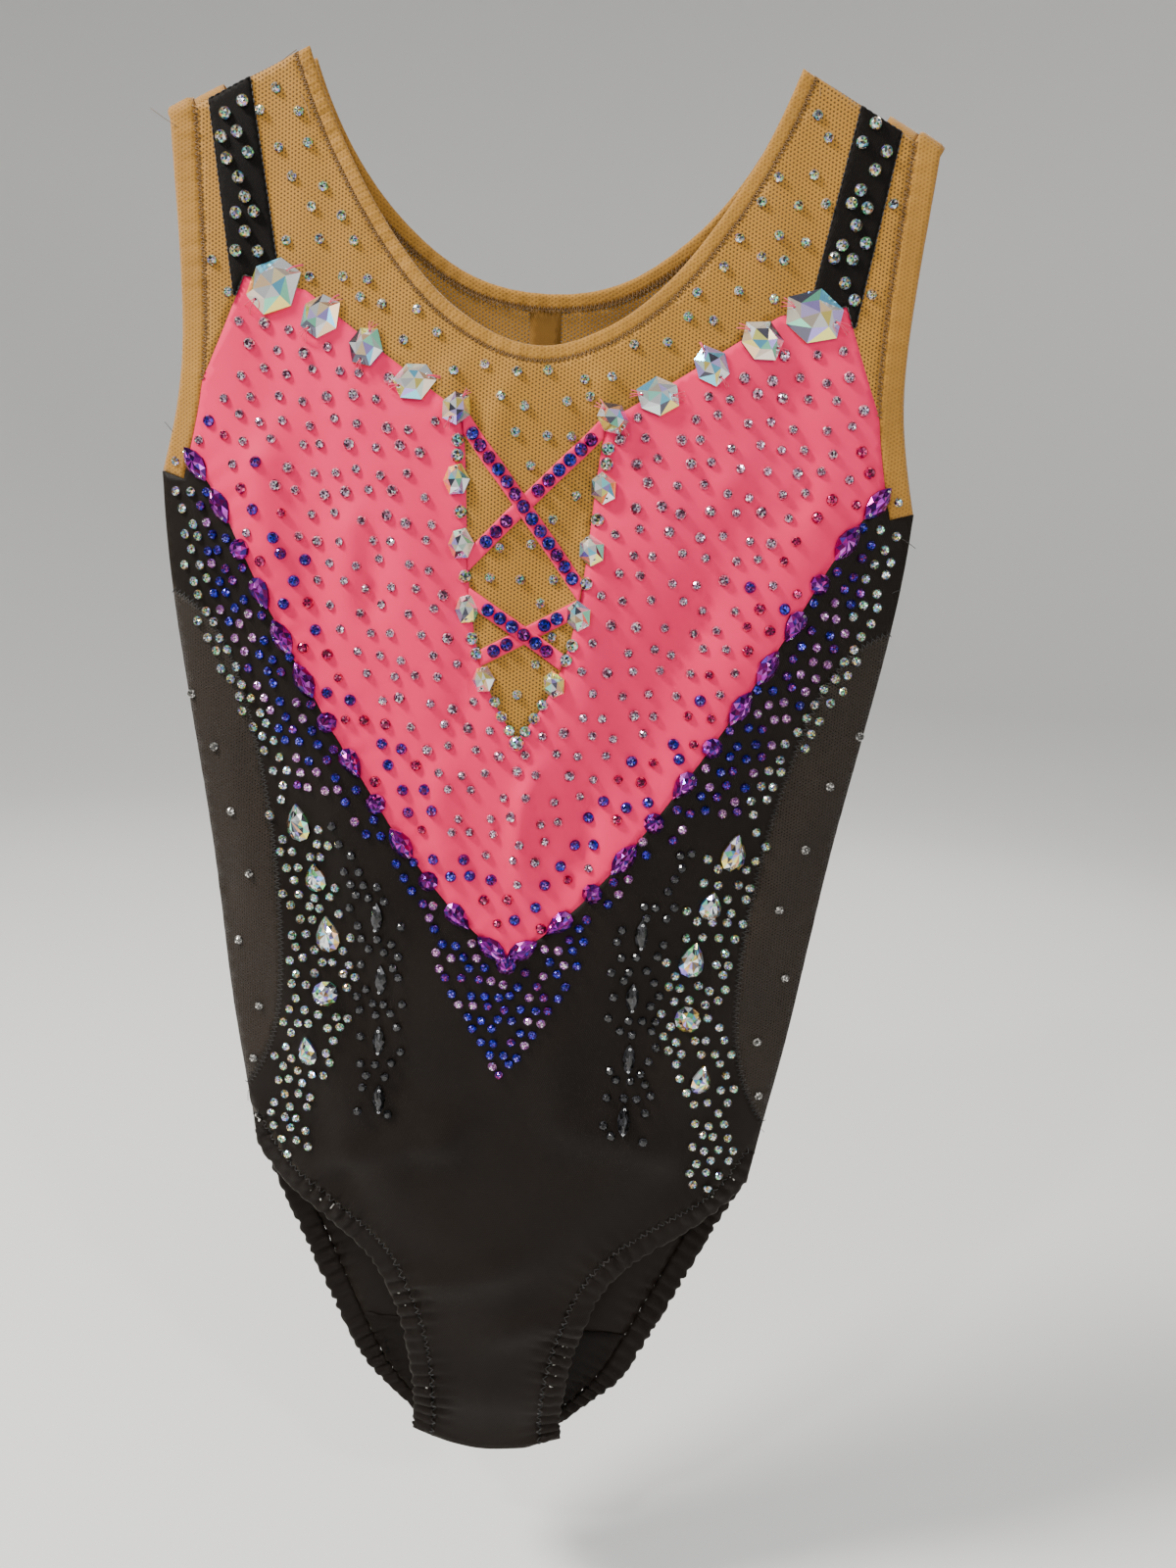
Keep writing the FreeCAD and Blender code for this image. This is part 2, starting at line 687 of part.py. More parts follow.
# A close row of stones on each lattice strap.
LATTICE_PITCH = 5.8
for layer_name, start, end in LATTICE.values():
    lift = (2 if layer_name == "strap_over" else 1) * strap_cloth
    length = math.hypot(end[0] - start[0], end[1] - start[1])
    for i in range(1, int(length / LATTICE_PITCH)):
        share = i * LATTICE_PITCH / length
        x, z = start[0] + (end[0] - start[0]) * share, start[1] + (end[1] - start[1]) * share
        if is_free(x, z, size("crystal_ss25") / 2, 0.1):
            put_round("lattice_stones", "ss25", x, z, lift)

# Purple chain along the lower edge of the pink panel: navettes, drops and rounds in turn.
CHAIN_TURNS = "NNRDNNRDRNRDN"
for side_name, sign in SIDES:
    for i, kind in enumerate(CHAIN_TURNS):
        x, z, (run, rise) = along(CHAIN, 0.065 + 0.905 * i / (len(CHAIN_TURNS) - 1))
        heading = (sign * run, rise)
        if kind == "R":
            put(f"chain_rounds_{side_name}", chain_round, 4.6, sign * x, z, 0.0, heading)
        elif kind == "N":
            put(f"chain_navettes_{side_name}", chain_navette, 5.6, sign * x, z, 0.0, heading)
        else:
            put(f"chain_drops_{side_name}", chain_drop, 5.2, sign * x, z, 0.0, heading)
put("chain_rounds_left", chain_round, 4.6, 0, CHAIN[-1][1] - 2.0)

# Clear drops down the hip, with one round stone among them, and jet navettes beside them.
CLEAR_DROPS = [(94, -311, 16.6, 10.9), (86, -335, 12.6, 9.8), (80, -360, 16.2, 10.9), (88, -415, 13.5, 9.2)]
CLEAR_ROUND = (80, -387)
JET_NAVETTES = [(57, -349), (55, -378), (55.5, -407), (55, -435)]
for side_name, sign in SIDES:
    for x, z, length, width in CLEAR_DROPS:
        stone = gem(drop_outline(length, width), size("sewn_rise"), 0.45)
        put(f"clear_drops_{side_name}", stone, length * 0.42, sign * x, z, 0.0, (sign * 0.15, 1.0))
    put(f"clear_drops_{side_name}", gem(round_outline(11.4), size("sewn_rise"), 0.5), 5.7,
        sign * CLEAR_ROUND[0], CLEAR_ROUND[1])
    for x, z in JET_NAVETTES:
        put(f"jet_navettes_{side_name}", jet_navette, 5.6, sign * x, z, 0.0, (0.0, 1.0))

# Black-diamond stones, few and far apart on each side mesh.
MESH_DIAMONDS = [(144, -259), (133, -281), (125, -309), (116, -336), (122, -368), (112, -398), (115, -424)]
for side_name, sign in SIDES:
    for x, z in MESH_DIAMONDS:
        put_round(f"mesh_diamonds_{side_name}", "ss16", sign * x, z)

# Round stones over the straps, the yoke and the pink panel.
chain_line = line_of(both(CHAIN), 60)
chance = random.Random(7)
for side_name, sign in SIDES:
    strap_corners = [(sign * x, z) for x, z in outline_points(strap_outlines["front"])]
    for x, z in scatter(strap_corners, 8.2, 2.6, 11 + sign):
        if is_free(x, z, 2.4, 0.6):
            put_round(f"strap_stones_{side_name}", "ss20", x, z, size("strap_cloth"))
yoke_corners = outline_points(front_yoke_area, 220)
strap_ground = [(123.5, -4), (139.5, -12), (127, -96), (103, -96)]
for x, z in scatter(yoke_corners, 13.2, 3.4, 23):
    on_strap = is_inside(strap_ground, abs(x), z)
    if not on_strap and is_free(x, z, 2.0, 0.8):
        put_round("yoke_clear_stones", "ss16", x, z)


def distance_to(line, x, z):
    return min(math.hypot(x - a, z - b) for a, b in line)


CHAIN_REACH = 24.0
pink_corners = outline_points(pink_area, 220)
for x, z in scatter(pink_corners, 10.6, 3.0, 31):
    near_chain = distance_to(chain_line, x, z) < CHAIN_REACH
    if not is_free(x, z, 2.2, 0.5):
        continue
    if near_chain and chance.random() < 0.35:
        put_round("cobalt_stones", "ss20", x, z)
    elif near_chain and chance.random() < 0.85:
        put_round("fuchsia_stones", "ss20" if chance.random() < 0.5 else "ss16", x, z)
    else:
        put_round("rose_stones", "ss20" if chance.random() < 0.2 else "ss16", x, z)

# Stones on the black: a clear band down each flank, coloured ones beside the chain and in the point below it.
FLANK_OUTER = [(153, -171), (151, -200), (143, -226), (127, -257), (113, -286), (104, -300)]
FLANK_INNER = [(84, -296), (66, -311), (47, -334), (28, -356)]
flank = FLANK_OUTER + FLANK_INNER + CHAIN[-2::-1]
POINT = [(44, -330), (36, -356), (25, -382), (9, -408), (0, -420)]
point_outline = both(POINT) + [(26, -341), (0, -363), (-26, -341)]
CLEAR_BAND = 13.0
CLEAR_LOW, CLEAR_INNER = -306.0, 96.0
flank_edge = line_of(FLANK_OUTER, 60)
for side_name, sign in SIDES:
    for x, z in scatter(flank, 6.9, 1.2, 41 + sign):
        radius = size("crystal_ss16") / 2
        if not is_free(sign * x, z, radius, 0.4):
            continue
        if z > CLEAR_LOW and x > CLEAR_INNER and distance_to(flank_edge, x, z) < CLEAR_BAND:
            put_round(f"flank_clear_stones_{side_name}", "ss16", sign * x, z)
        elif chance.random() < 0.68:
            put_round("cobalt_stones", "ss16", sign * x, z)
        else:
            put_round("light_rose_stones", "ss16", sign * x, z)
for x, z in scatter(point_outline, 6.3, 1.0, 53):
    if is_free(x, z, 2.0, 0.4):
        put_round("cobalt_stones" if chance.random() < 0.7 else "light_rose_stones", "ss16", x, z)
HIP_COLUMN = [(101, -296), (109, -308), (104, -334), (98, -362), (98, -392), (106, -420), (107, -458),
              (98, -470), (86, -470), (84, -436), (72, -410), (66, -386), (68, -360), (76, -334), (82, -306)]
JET_COLUMN = [(84, -300), (74, -322), (70, -350), (66, -446), (46, -446), (43, -352), (56, -336), (70, -312)]
for side_name, sign in SIDES:
    for x, z in scatter(HIP_COLUMN, 6.8, 0.5, 61 + sign):
        if is_free(sign * x, z, 2.0, 0.4):
            put_round(f"flank_clear_stones_{side_name}", "ss16", sign * x, z)
    for x, z in scatter(JET_COLUMN, 6.8, 0.5, 71 + sign):
        if is_free(sign * x, z, 2.0, 0.4):
            put_round(f"jet_stones_{side_name}", "ss16", sign * x, z)

for label, stones in groups.items():
    keep(label, Part.makeCompound(stones))

# ---------------------------------------------------------------- check and write

doc.recompute()
for item in doc.Objects:
    if any(word in item.State for word in ("Invalid", "Error")):
        raise RuntimeError(f"{item.Name} failed: {item.State}")
for label, piece in made.items():
    if piece.Shape.isNull() or not piece.Shape.isValid():
        raise RuntimeError(f"{label} has no valid shape")
os.makedirs("parts", exist_ok=True)
for label, piece in made.items():
    piece.Shape.exportStep(f"parts/{label}.step")
    print(label, len(piece.Shape.Solids))
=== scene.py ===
import json
import math
import random
from functools import lru_cache

import bpy
import numpy as np
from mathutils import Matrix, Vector
from mathutils.bvhtree import BVHTree
from mathutils.geometry import delaunay_2d_cdt


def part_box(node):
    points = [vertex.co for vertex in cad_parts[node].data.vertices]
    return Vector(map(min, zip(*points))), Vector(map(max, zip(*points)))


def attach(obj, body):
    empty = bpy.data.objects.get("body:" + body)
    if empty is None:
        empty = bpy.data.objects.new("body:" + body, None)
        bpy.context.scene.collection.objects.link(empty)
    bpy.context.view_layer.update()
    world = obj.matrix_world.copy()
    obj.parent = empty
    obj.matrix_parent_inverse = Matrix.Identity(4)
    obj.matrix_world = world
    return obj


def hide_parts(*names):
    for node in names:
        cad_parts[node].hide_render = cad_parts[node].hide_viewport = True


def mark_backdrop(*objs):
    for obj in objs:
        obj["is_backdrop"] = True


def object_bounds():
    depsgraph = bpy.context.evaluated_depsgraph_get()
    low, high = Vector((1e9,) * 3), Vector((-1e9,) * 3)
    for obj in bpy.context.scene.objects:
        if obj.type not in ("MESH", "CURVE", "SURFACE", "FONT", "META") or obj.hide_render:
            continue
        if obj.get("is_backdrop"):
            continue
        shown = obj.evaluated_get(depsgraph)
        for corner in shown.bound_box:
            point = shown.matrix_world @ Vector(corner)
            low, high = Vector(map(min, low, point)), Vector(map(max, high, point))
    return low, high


bl_info = {
    "name": "Gymnastics Leotard",
    "version": (1, 0, 0),
    "blender": (4, 5, 0),
    "location": "View3D > Sidebar > Leotard",
    "description": "Sews and trims a sleeveless gymnastics leotard over its plain pattern",
    "category": "Object",
}

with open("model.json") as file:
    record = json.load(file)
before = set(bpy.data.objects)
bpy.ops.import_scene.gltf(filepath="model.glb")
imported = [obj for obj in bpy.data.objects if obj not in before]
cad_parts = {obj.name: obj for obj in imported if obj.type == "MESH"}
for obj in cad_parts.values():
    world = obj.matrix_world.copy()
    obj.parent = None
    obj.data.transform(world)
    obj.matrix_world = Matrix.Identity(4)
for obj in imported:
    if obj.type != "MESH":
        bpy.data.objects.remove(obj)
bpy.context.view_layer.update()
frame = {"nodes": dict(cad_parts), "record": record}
MM = 0.001

# Cloth pieces by the face of the body they lie on.
FRONT_CLOTH = ("front_yoke_mesh", "pink_satin_panel", "front_body_black", "side_mesh_left", "side_mesh_right")
BACK_CLOTH = ("back_yoke_mesh", "back_body_black")
BANDS = ("neck_binding", "armhole_binding_left", "armhole_binding_right", "leg_hem_left", "leg_hem_right")
BAND_PROUD = 0.5 * MM
BAND_INSIDE = 1.6 * MM
CROTCH_RADIUS = 6.0 * MM
PINCH_REACH = 5.0 * MM
CROTCH_REACH = 40.0 * MM

# ---------------------------------------------------------------- reading the plain pattern


@lru_cache(maxsize=None)
def node_corners(name):
    """Welded corners and triangles of a node of the plain pattern."""
    item = frame["nodes"][name]
    mesh = item.data
    mesh.calc_loop_triangles()
    corners = np.empty(len(mesh.vertices) * 3)
    mesh.vertices.foreach_get("co", corners)
    triangles = np.empty(len(mesh.loop_triangles) * 3, dtype=np.int64)
    mesh.loop_triangles.foreach_get("vertices", triangles)
    matrix = np.array(item.matrix_world)
    corners = corners.reshape(-1, 3) @ matrix[:3, :3].T + matrix[:3, 3]
    _, first, index = np.unique(np.round(corners, 6), axis=0, return_index=True, return_inverse=True)
    return corners[first], index.reshape(-1)[triangles].reshape(-1, 3)


class Fold:
    """A straight line at which the cloth turns from the front to the back, on a small radius."""

    def __init__(self, point, up, radius, side):
        self.point, self.up, self.radius, self.side = np.array(point), np.array(up), radius, side
        self.length = radius * math.pi / 2

    def above(self, x, z):
        """Distance past the line, or a negative number short of it."""
        height = (x - self.point[0]) * self.up[0] + (z - self.point[1]) * self.up[1]
        if self.side:
            height = np.where(x * self.side > 0, height, -1.0)
        return height


def shoulder_fold(side):
    """The fold over one shoulder, read from the ridge of the yoke."""
    corners = np.vstack([node_corners(name)[0] for name in ("front_yoke_mesh", "back_yoke_mesh")])
    middle = np.abs(corners[:, 1]) < 0.05 * MM
    ridge = corners[middle & (corners[:, 0] * side > 0) & (corners[:, 2] > -60 * MM)]
    low, high = ridge[np.argmax(ridge[:, 0] * side)], ridge[np.argmax(ridge[:, 2])]
    for _ in range(2):
        run = np.array([low[0] - high[0], low[2] - high[2]])
        run /= np.linalg.norm(run)
        up = np.array([-run[1], run[0]]) if side > 0 else np.array([run[1], -run[0]])
        height = ridge[:, [0, 2]] @ up
        outer = ridge[height > height.max() - 0.3 * MM]
        low, high = outer[np.argmax(outer[:, 0] * side)], outer[np.argmax(outer[:, 2])]
    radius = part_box("armhole_binding_left")[1][1] - BAND_PROUD
    return Fold((high[0] - up[0] * radius, high[2] - up[1] * radius), up, radius, side)


FOLDS = [
    shoulder_fold(1),
    shoulder_fold(-1),
    Fold((0.0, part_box("leg_hem_left")[0][2] + CROTCH_RADIUS + BAND_PROUD), (0.0, -1.0), CROTCH_RADIUS, 0),
]


def spread_grid(values, known, straight=3):
    """Fill the unknown places of a grid: the first rows run on in a straight line, the rest level off."""
    values, known = values.copy(), known.copy()
    for turn in range(60):
        if known.all():
            break
        total, count = np.zeros_like(values), np.zeros(known.shape)
        for axis in (0, 1):
            for step in (-1, 1):
                near, near_known = np.roll(values, step, axis), np.roll(known, step, axis)
                if turn < straight:
                    near = 2 * near - np.roll(values, 2 * step, axis)
                    near_known = near_known & np.roll(known, 2 * step, axis)
                total += np.where(near_known, near, 0)
                count += near_known
        ready = ~known & (count > 0)
        values = np.where(ready, total / np.maximum(count, 1), values)
        known |= ready
    return values


class Grid:
    """Numbers on an even grid over the flat pattern, read smoothly between its places."""

    def __init__(self, step):
        boxes = [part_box(name) for name in BANDS + BACK_CLOTH]
        low = [min(box[0][k] for box in boxes) for k in range(3)]
        high = [max(box[1][k] for box in boxes) for k in range(3)]
        self.step = step
        self.start = np.array([low[0], low[2]]) - 5 * step
        self.count = np.ceil((np.array([high[0], high[2]]) - self.start) / step).astype(int) + 6
        self.x = self.start[0] + step * np.arange(self.count[0])
        self.z = self.start[1] + step * np.arange(self.count[1])

    def read(self, values, x, z):
        """Catmull-Rom reading of the grid's values."""
        u = np.clip((x - self.start[0]) / self.step, 1, self.count[0] - 3.001)
        v = np.clip((z - self.start[1]) / self.step, 1, self.count[1] - 3.001)
        i, j = np.floor(u).astype(int), np.floor(v).astype(int)
        weights = []
        for t in (u - i, v - j):
            weights.append([
                -0.5 * t + t**2 - 0.5 * t**3,
                1 - 2.5 * t**2 + 1.5 * t**3,
                0.5 * t + 2 * t**2 - 1.5 * t**3,
                -0.5 * t**2 + 0.5 * t**3,
            ])
        shape = x.shape + (1,) * (values.ndim - 2)
        total = 0
        for a in range(4):
            for b in range(4):
                weight = (weights[0][a] * weights[1][b]).reshape(shape)
                total = total + weight * values[i + a - 1, j + b - 1]
        return total


def nearest_on(line, x, z):
    """Distance to a run of points, and how far along the run the nearest place is."""
    line = np.asarray(line)
    starts, ends = line[:-1], line[1:]
    lengths = np.linalg.norm(ends - starts, axis=1) + 1e-12
    before = np.concatenate([[0.0], np.cumsum(lengths)[:-1]])
    best = np.full(x.shape, np.inf)
    run = np.zeros(x.shape)
    for (sx, sz), (ex, ez), length, start in zip(starts, ends, lengths, before):
        share = np.clip(((x - sx) * (ex - sx) + (z - sz) * (ez - sz)) / length**2, 0, 1)
        distance = np.hypot(x - sx - share * (ex - sx), z - sz - share * (ez - sz))
        closer = distance < best
        best = np.where(closer, distance, best)
        run = np.where(closer, start + share * length, run)
    return best, run


@lru_cache(maxsize=None)
def outline(name, side):
    """Flat outline of a piece on the front (side -1) or the back (side 1), run on over the folds."""
    corners, triangles = node_corners(name)
    a, b, c = (corners[triangles[:, k]] for k in range(3))
    normals = np.cross(b - a, c - a)
    normals /= np.linalg.norm(normals, axis=1)[:, None] + 1e-15
    centres = (a + b + c) / 3
    skin = (normals[:, 1] * side > 0.5) & (centres[:, 1] * side > 0)
    for fold in FOLDS:
        skin &= fold.above(centres[:, 0], centres[:, 2]) < 0.01 * MM
    edges = set()
    for one, two, three in triangles[skin]:
        for edge in ((one, two), (two, three), (three, one)):
            if edge[::-1] in edges:
                edges.remove(edge[::-1])
            else:
                edges.add(edge)
    after = dict(edges)
    loops = []
    while after:
        start, here = after.popitem()
        loop = [start]
        while here in after:
            loop.append(here)
            here = after.pop(here)
        loops.append(loop)
    flat = corners[max(loops, key=len)][:, [0, 2]]
    return turned_over(flat)


LEAST_FILL = 0.3  # the least share of its rectangle that a panel's outline is taken to fill


def flat_area(loop):
    """Area inside an outline, in square metres."""
    after = np.roll(loop, -1, axis=0)
    return 0.5 * abs(float(np.sum(loop[:, 0] * after[:, 1] - after[:, 0] * loop[:, 1])))


ON_FOLD = 0.02 * MM  # how near a fold line a corner of an outline counts as lying on it


def turned_over(flat):
    """Meant to run the outline on over each fold that it ends at.

    Known fault: the fold lines worked out in FOLDS lie 0.07 to 0.08 mm off the outlines, more than ON_FOLD,
    so the large panels stop at the folds and the front and the back don't meet there.
    """
    for fold in FOLDS:
        on_fold = np.abs(fold.above(flat[:, 0], flat[:, 1])) < ON_FOLD
        if on_fold.sum() < 2:
            continue
        start = next(k for k in range(len(flat)) if on_fold[k] and not on_fold[k - 1])
        flat, on_fold = np.roll(flat, -start, axis=0), np.roll(on_fold, -start)
        count = int(np.argmin(on_fold))
        first, last = flat[0], flat[count - 1]
        rise = fold.up * fold.length
        flat = np.vstack([[first, first + rise, last + rise, last], flat[count:]])
    return flat


def even_run(points, step):
    """The same run of points, evenly spaced; its sharp corners are kept."""
    points = np.asarray(points)
    lengths = np.linalg.norm(np.diff(points, axis=0), axis=1)
    keep = [0]
    for k in range(1, len(points) - 1):
        one, two = points[k] - points[k - 1], points[k + 1] - points[k]
        turn = np.dot(one, two) / (np.linalg.norm(one) * np.linalg.norm(two) + 1e-15)
        if turn < 0.82:
            keep.append(k)
    keep.append(len(points) - 1)
    run = np.concatenate([[0.0], np.cumsum(lengths)])
    parts = []
    for a, b in zip(keep, keep[1:]):
        count = max(1, round((run[b] - run[a]) / step))
        places = np.linspace(run[a], run[b], count + 1)[:-1]
        parts.append(np.column_stack([np.interp(places, run, points[:, k]) for k in (0, 1)]))
    return np.vstack(parts + [points[-1:]])


def inside(loop, x, z):
    """Which places lie inside a closed outline."""
    found = np.zeros(x.shape, dtype=bool)
    for (ax, az), (bx, bz) in zip(loop, np.roll(loop, -1, axis=0)):
        if az == bz:
            continue
        crosses = ((az > z) != (bz > z)) & (x < ax + (z - az) / (bz - az) * (bx - ax))
        found ^= crosses
    return found


def fill(loop, step):
    """Even triangles inside a closed outline: flat places, triangles and the number of rim places."""
    closed = np.vstack([loop, loop[:1]])
    rim = even_run(closed, step)[:-1]
    low, high = rim.min(axis=0), rim.max(axis=0)
    rows = np.arange(low[1], high[1], step * 0.87)
    columns = np.arange(low[0] - step, high[0] + step, step)
    x, z = np.meshgrid(columns, rows)
    x = x + (np.arange(len(rows)) % 2)[:, None] * step / 2
    x, z = x.ravel(), z.ravel()
    within = inside(rim, x, z)
    x, z = x[within], z[within]
    distance, _ = nearest_on(np.vstack([rim, rim[:1]]), x, z)
    clear = distance > 0.55 * step
    places = np.vstack([rim, np.column_stack([x[clear], z[clear]])])
    found = delaunay_2d_cdt([Vector(p) for p in places], [], [list(range(len(rim)))], 1, 1e-7)
    return np.array([tuple(p) for p in found[0]]), np.array([tuple(f) for f in found[2]]), len(rim)


# ---------------------------------------------------------------- the hanging cloth


class Cloth:
    """Where the cloth hangs: flat places of the pattern turned into places in the round."""

    def __init__(self):
        self.grid = Grid(4 * MM)
        self.bow = {-1: self.cast(-1, FRONT_CLOTH + BANDS), 1: self.cast(1, BACK_CLOTH + BANDS)}
        self.sway_grid = Grid(8 * MM)
        self.sway = {side: np.zeros((*self.sway_grid.count, 3)) for side in (-1, 1)}
        self.side_lines = []
        self.reliefs = {-1: [], 1: []}

    def cast(self, side, names):
        """Depth of the outside of the cloth over the grid."""
        corners, triangles, is_band, offset = [], [], [], 0
        for name in names:
            points, faces = node_corners(name)
            corners.append(points)
            triangles.append(faces + offset)
            is_band += [name in BANDS] * len(faces)
            offset += len(points)
        tree = BVHTree.FromPolygons(np.vstack(corners).tolist(), np.vstack(triangles).tolist())
        depth = np.zeros(tuple(self.grid.count))
        known = np.zeros(tuple(self.grid.count), dtype=bool)
        for i, x in enumerate(self.grid.x):
            for j, z in enumerate(self.grid.z):
                if any(float(fold.above(x, z)) > -0.2 * MM for fold in FOLDS):
                    continue
                place, _, index, _ = tree.ray_cast(Vector((x, side * 0.2, z)), Vector((0, -side, 0)))
                if place is not None and place.y * side > 0:
                    depth[i, j] = place.y * side - (BAND_PROUD if is_band[index] else 0)
                    known[i, j] = True
        return spread_grid(depth, known)

    def at(self, side, x, z, lift=0.0):
        """Places in the round for flat places, a lift out of the cloth's outside."""
        place = self.plain(side, x, z)
        if np.any(lift):
            place = place + self.normal(side, x, z) * np.broadcast_to(lift, x.shape)[:, None]
        return place

    def normal(self, side, x, z, step=0.4 * MM):
        across = self.plain(side, x + step, z) - self.plain(side, x - step, z)
        along = self.plain(side, x, z + step) - self.plain(side, x, z - step)
        out = np.cross(across, along) * -side
        return out / (np.linalg.norm(out, axis=1)[:, None] + 1e-15)

    def plain(self, side, x, z):
        foot_x, foot_z = x.copy(), z.copy()
        turn = np.zeros(x.shape)
        radius = np.ones(x.shape)
        up = np.zeros(x.shape + (2,))
        for fold in FOLDS:
            height = fold.above(x, z)
            past = height > 0
            foot_x = np.where(past, x - fold.up[0] * height, foot_x)
            foot_z = np.where(past, z - fold.up[1] * height, foot_z)
            turn = np.where(past, height / fold.radius, turn)
            radius = np.where(past, fold.radius, radius)
            up[past] = fold.up
        depth = self.grid.read(self.bow[side], foot_x, foot_z)
        sway = self.sway_grid.read(self.sway[side], foot_x, foot_z)
        for line in self.side_lines:
            distance, _ = nearest_on(line, foot_x, foot_z)
            depth = depth * np.clip(0.4 + 0.6 * (distance / PINCH_REACH) ** 0.5, 0, 1)
        low = np.clip((foot_z - FOLDS[2].point[1]) / CROTCH_REACH, 0, 1)
        rounded = np.column_stack([-0.08 * foot_x, 0 * foot_x, 5.5 * foot_x**2])
        sway = sway + rounded * ((1 - low) ** 2)[:, None]
        rolled = turn > 0
        depth = np.where(rolled, radius * np.cos(turn), depth)
        rise = np.where(rolled, radius * np.sin(turn), 0)
        flat = np.column_stack([foot_x + up[:, 0] * rise, side * depth, foot_z + up[:, 1] * rise]) + sway
        flat[:, 1] += side * sum(relief(foot_x, foot_z) for relief in self.reliefs[side]) * np.cos(
            np.clip(turn, 0, math.pi / 2))
        return flat


cloth = None


FOLD_LIMIT = 5.0 * MM  # the most that a simulated fold stands off the cloth
RUNAWAY = 30 * MM  # a simulated cloth that moves this far has gone wrong
FINE_BLUR, SAG_BLUR, RIM_BLUR = 1, 14, 6  # rounds of smoothing for folds, for the broad sag and for the rims


def let_hang(side, looseness, frames=45):
    """Let one face of the garment hang as cloth between its seams, and keep how each place moves."""
    grid = cloth.sway_grid
    loops = [outline(name, side) for name in (FRONT_CLOTH if side < 0 else BACK_CLOTH) + BANDS]
    x, z = (a.ravel() for a in np.meshgrid(grid.x, grid.z, indexing="ij"))
    covered = np.zeros(x.shape, dtype=bool)
    for loop in loops:
        covered |= inside(loop, x, z)
    for fold in FOLDS:
        covered &= fold.above(x, z) < 0
    number = np.full(x.shape, -1)
    number[covered] = np.arange(covered.sum())
    table = number.reshape(tuple(grid.count))
    quads = np.stack([table[:-1, :-1], table[1:, :-1], table[1:, 1:], table[:-1, 1:]], axis=-1).reshape(-1, 4)
    quads = quads[(quads >= 0).all(axis=1)]
    x, z = x[covered], z[covered]
    start = cloth.plain(side, x, z)
    hold = np.zeros(x.shape)
    for fold in FOLDS[:2]:
        hold = np.maximum(hold, np.clip(1.3 + fold.above(x, z) / (18 * MM), 0, 1))
    hold = np.maximum(hold, np.clip(1.0 + FOLDS[2].above(x, z) / (30 * MM), 0, 1) * 0.6)
    for line in cloth.side_lines:
        hold = np.maximum(hold, np.clip(1.35 - nearest_on(line, x, z)[0] / (16 * MM), 0, 1))

    mesh = bpy.data.meshes.new("hanging")
    mesh.from_pydata(start.tolist(), [], quads.tolist())
    body = bpy.data.objects.new("hanging", mesh)
    bpy.context.scene.collection.objects.link(body)
    body.shape_key_add(name="hung")
    cut = body.shape_key_add(name="cut")
    chance = random.Random(3 + side)
    wider = start * [1 + looseness, 1, 1] + [[0, chance.gauss(0, 0.3 * MM), 0] for _ in start]
    cut.data.foreach_set("co", wider.ravel())
    group = body.vertex_groups.new(name="hold")
    for k, weight in enumerate(hold):
        group.add([k], float(weight), "REPLACE")
    shaped = body.modifiers.new("hang", "CLOTH")
    shaped.settings.quality = 8
    shaped.settings.mass = 0.2
    shaped.settings.tension_stiffness = 25
    shaped.settings.compression_stiffness = 25
    shaped.settings.shear_stiffness = 8
    shaped.settings.bending_stiffness = 0.05
    shaped.settings.air_damping = 3
    shaped.settings.vertex_group_mass = "hold"
    shaped.settings.pin_stiffness = 1.0
    shaped.settings.rest_shape_key = cut
    shaped.point_cache.frame_start, shaped.point_cache.frame_end = 1, frames
    scene = bpy.context.scene
    for frame_number in range(1, frames + 1):
        scene.frame_set(frame_number)
    seen = body.evaluated_get(bpy.context.evaluated_depsgraph_get())
    places = np.empty(len(x) * 3)
    seen.data.vertices.foreach_get("co", places)
    moved = places.reshape(-1, 3) - start
    bpy.data.objects.remove(body)
    scene.frame_set(1)
    if not np.isfinite(moved).all() or np.abs(moved).max() > RUNAWAY:
        raise RuntimeError("the hanging cloth ran away")
    full = np.zeros(tuple(grid.count))
    full.reshape(-1)[np.flatnonzero(number >= 0)] = moved[:, 1]
    full = spread_grid(full, table >= 0, 0)
    folds = smoothed(full, FINE_BLUR) - smoothed(full, SAG_BLUR)
    rim = smoothed((table >= 0).astype(float), RIM_BLUR)
    cloth.sway[side][..., 1] = FOLD_LIMIT * np.tanh(folds / FOLD_LIMIT) * np.clip(2.4 * rim - 1.1, 0, 1)




def smoothed(values, times):
    """The grid with its small swells evened out."""
    for _ in range(times):
        for axis in (0, 1):
            values = (np.roll(values, 1, axis) + 2 * values + np.roll(values, -1, axis)) / 4
    return values


def puckers(line, pitch, height, reach, seed, puffed=False):
    """Small folds square to a line of stitching, fading away from it; puffed ones have sharp valleys."""
    line = np.asarray(line)
    chance = random.Random(seed)
    drift = [(chance.uniform(0.02, 0.06), chance.uniform(0, 6)) for _ in range(3)]

    def relief(x, z):
        near = (x > line[:, 0].min() - 4 * reach) & (x < line[:, 0].max() + 4 * reach)
        near &= (z > line[:, 1].min() - 4 * reach) & (z < line[:, 1].max() + 4 * reach)
        out = np.zeros(x.shape)
        if not near.any():
            return out
        distance, run = nearest_on(line, x[near], z[near])
        run = run / MM
        phase = 2 * math.pi * run / (pitch / MM) + sum(1.1 * np.sin(run * f + p) for f, p in drift)
        size = 0.65 + 0.35 * np.sin(run * 0.11 + drift[0][1])
        wave = 1.2 - 2 * np.abs(np.cos(phase / 2)) ** 3 if puffed else np.sin(phase)
        out[near] = height * size * wave * np.exp(-((distance / reach) ** 2))
        return out

    return relief


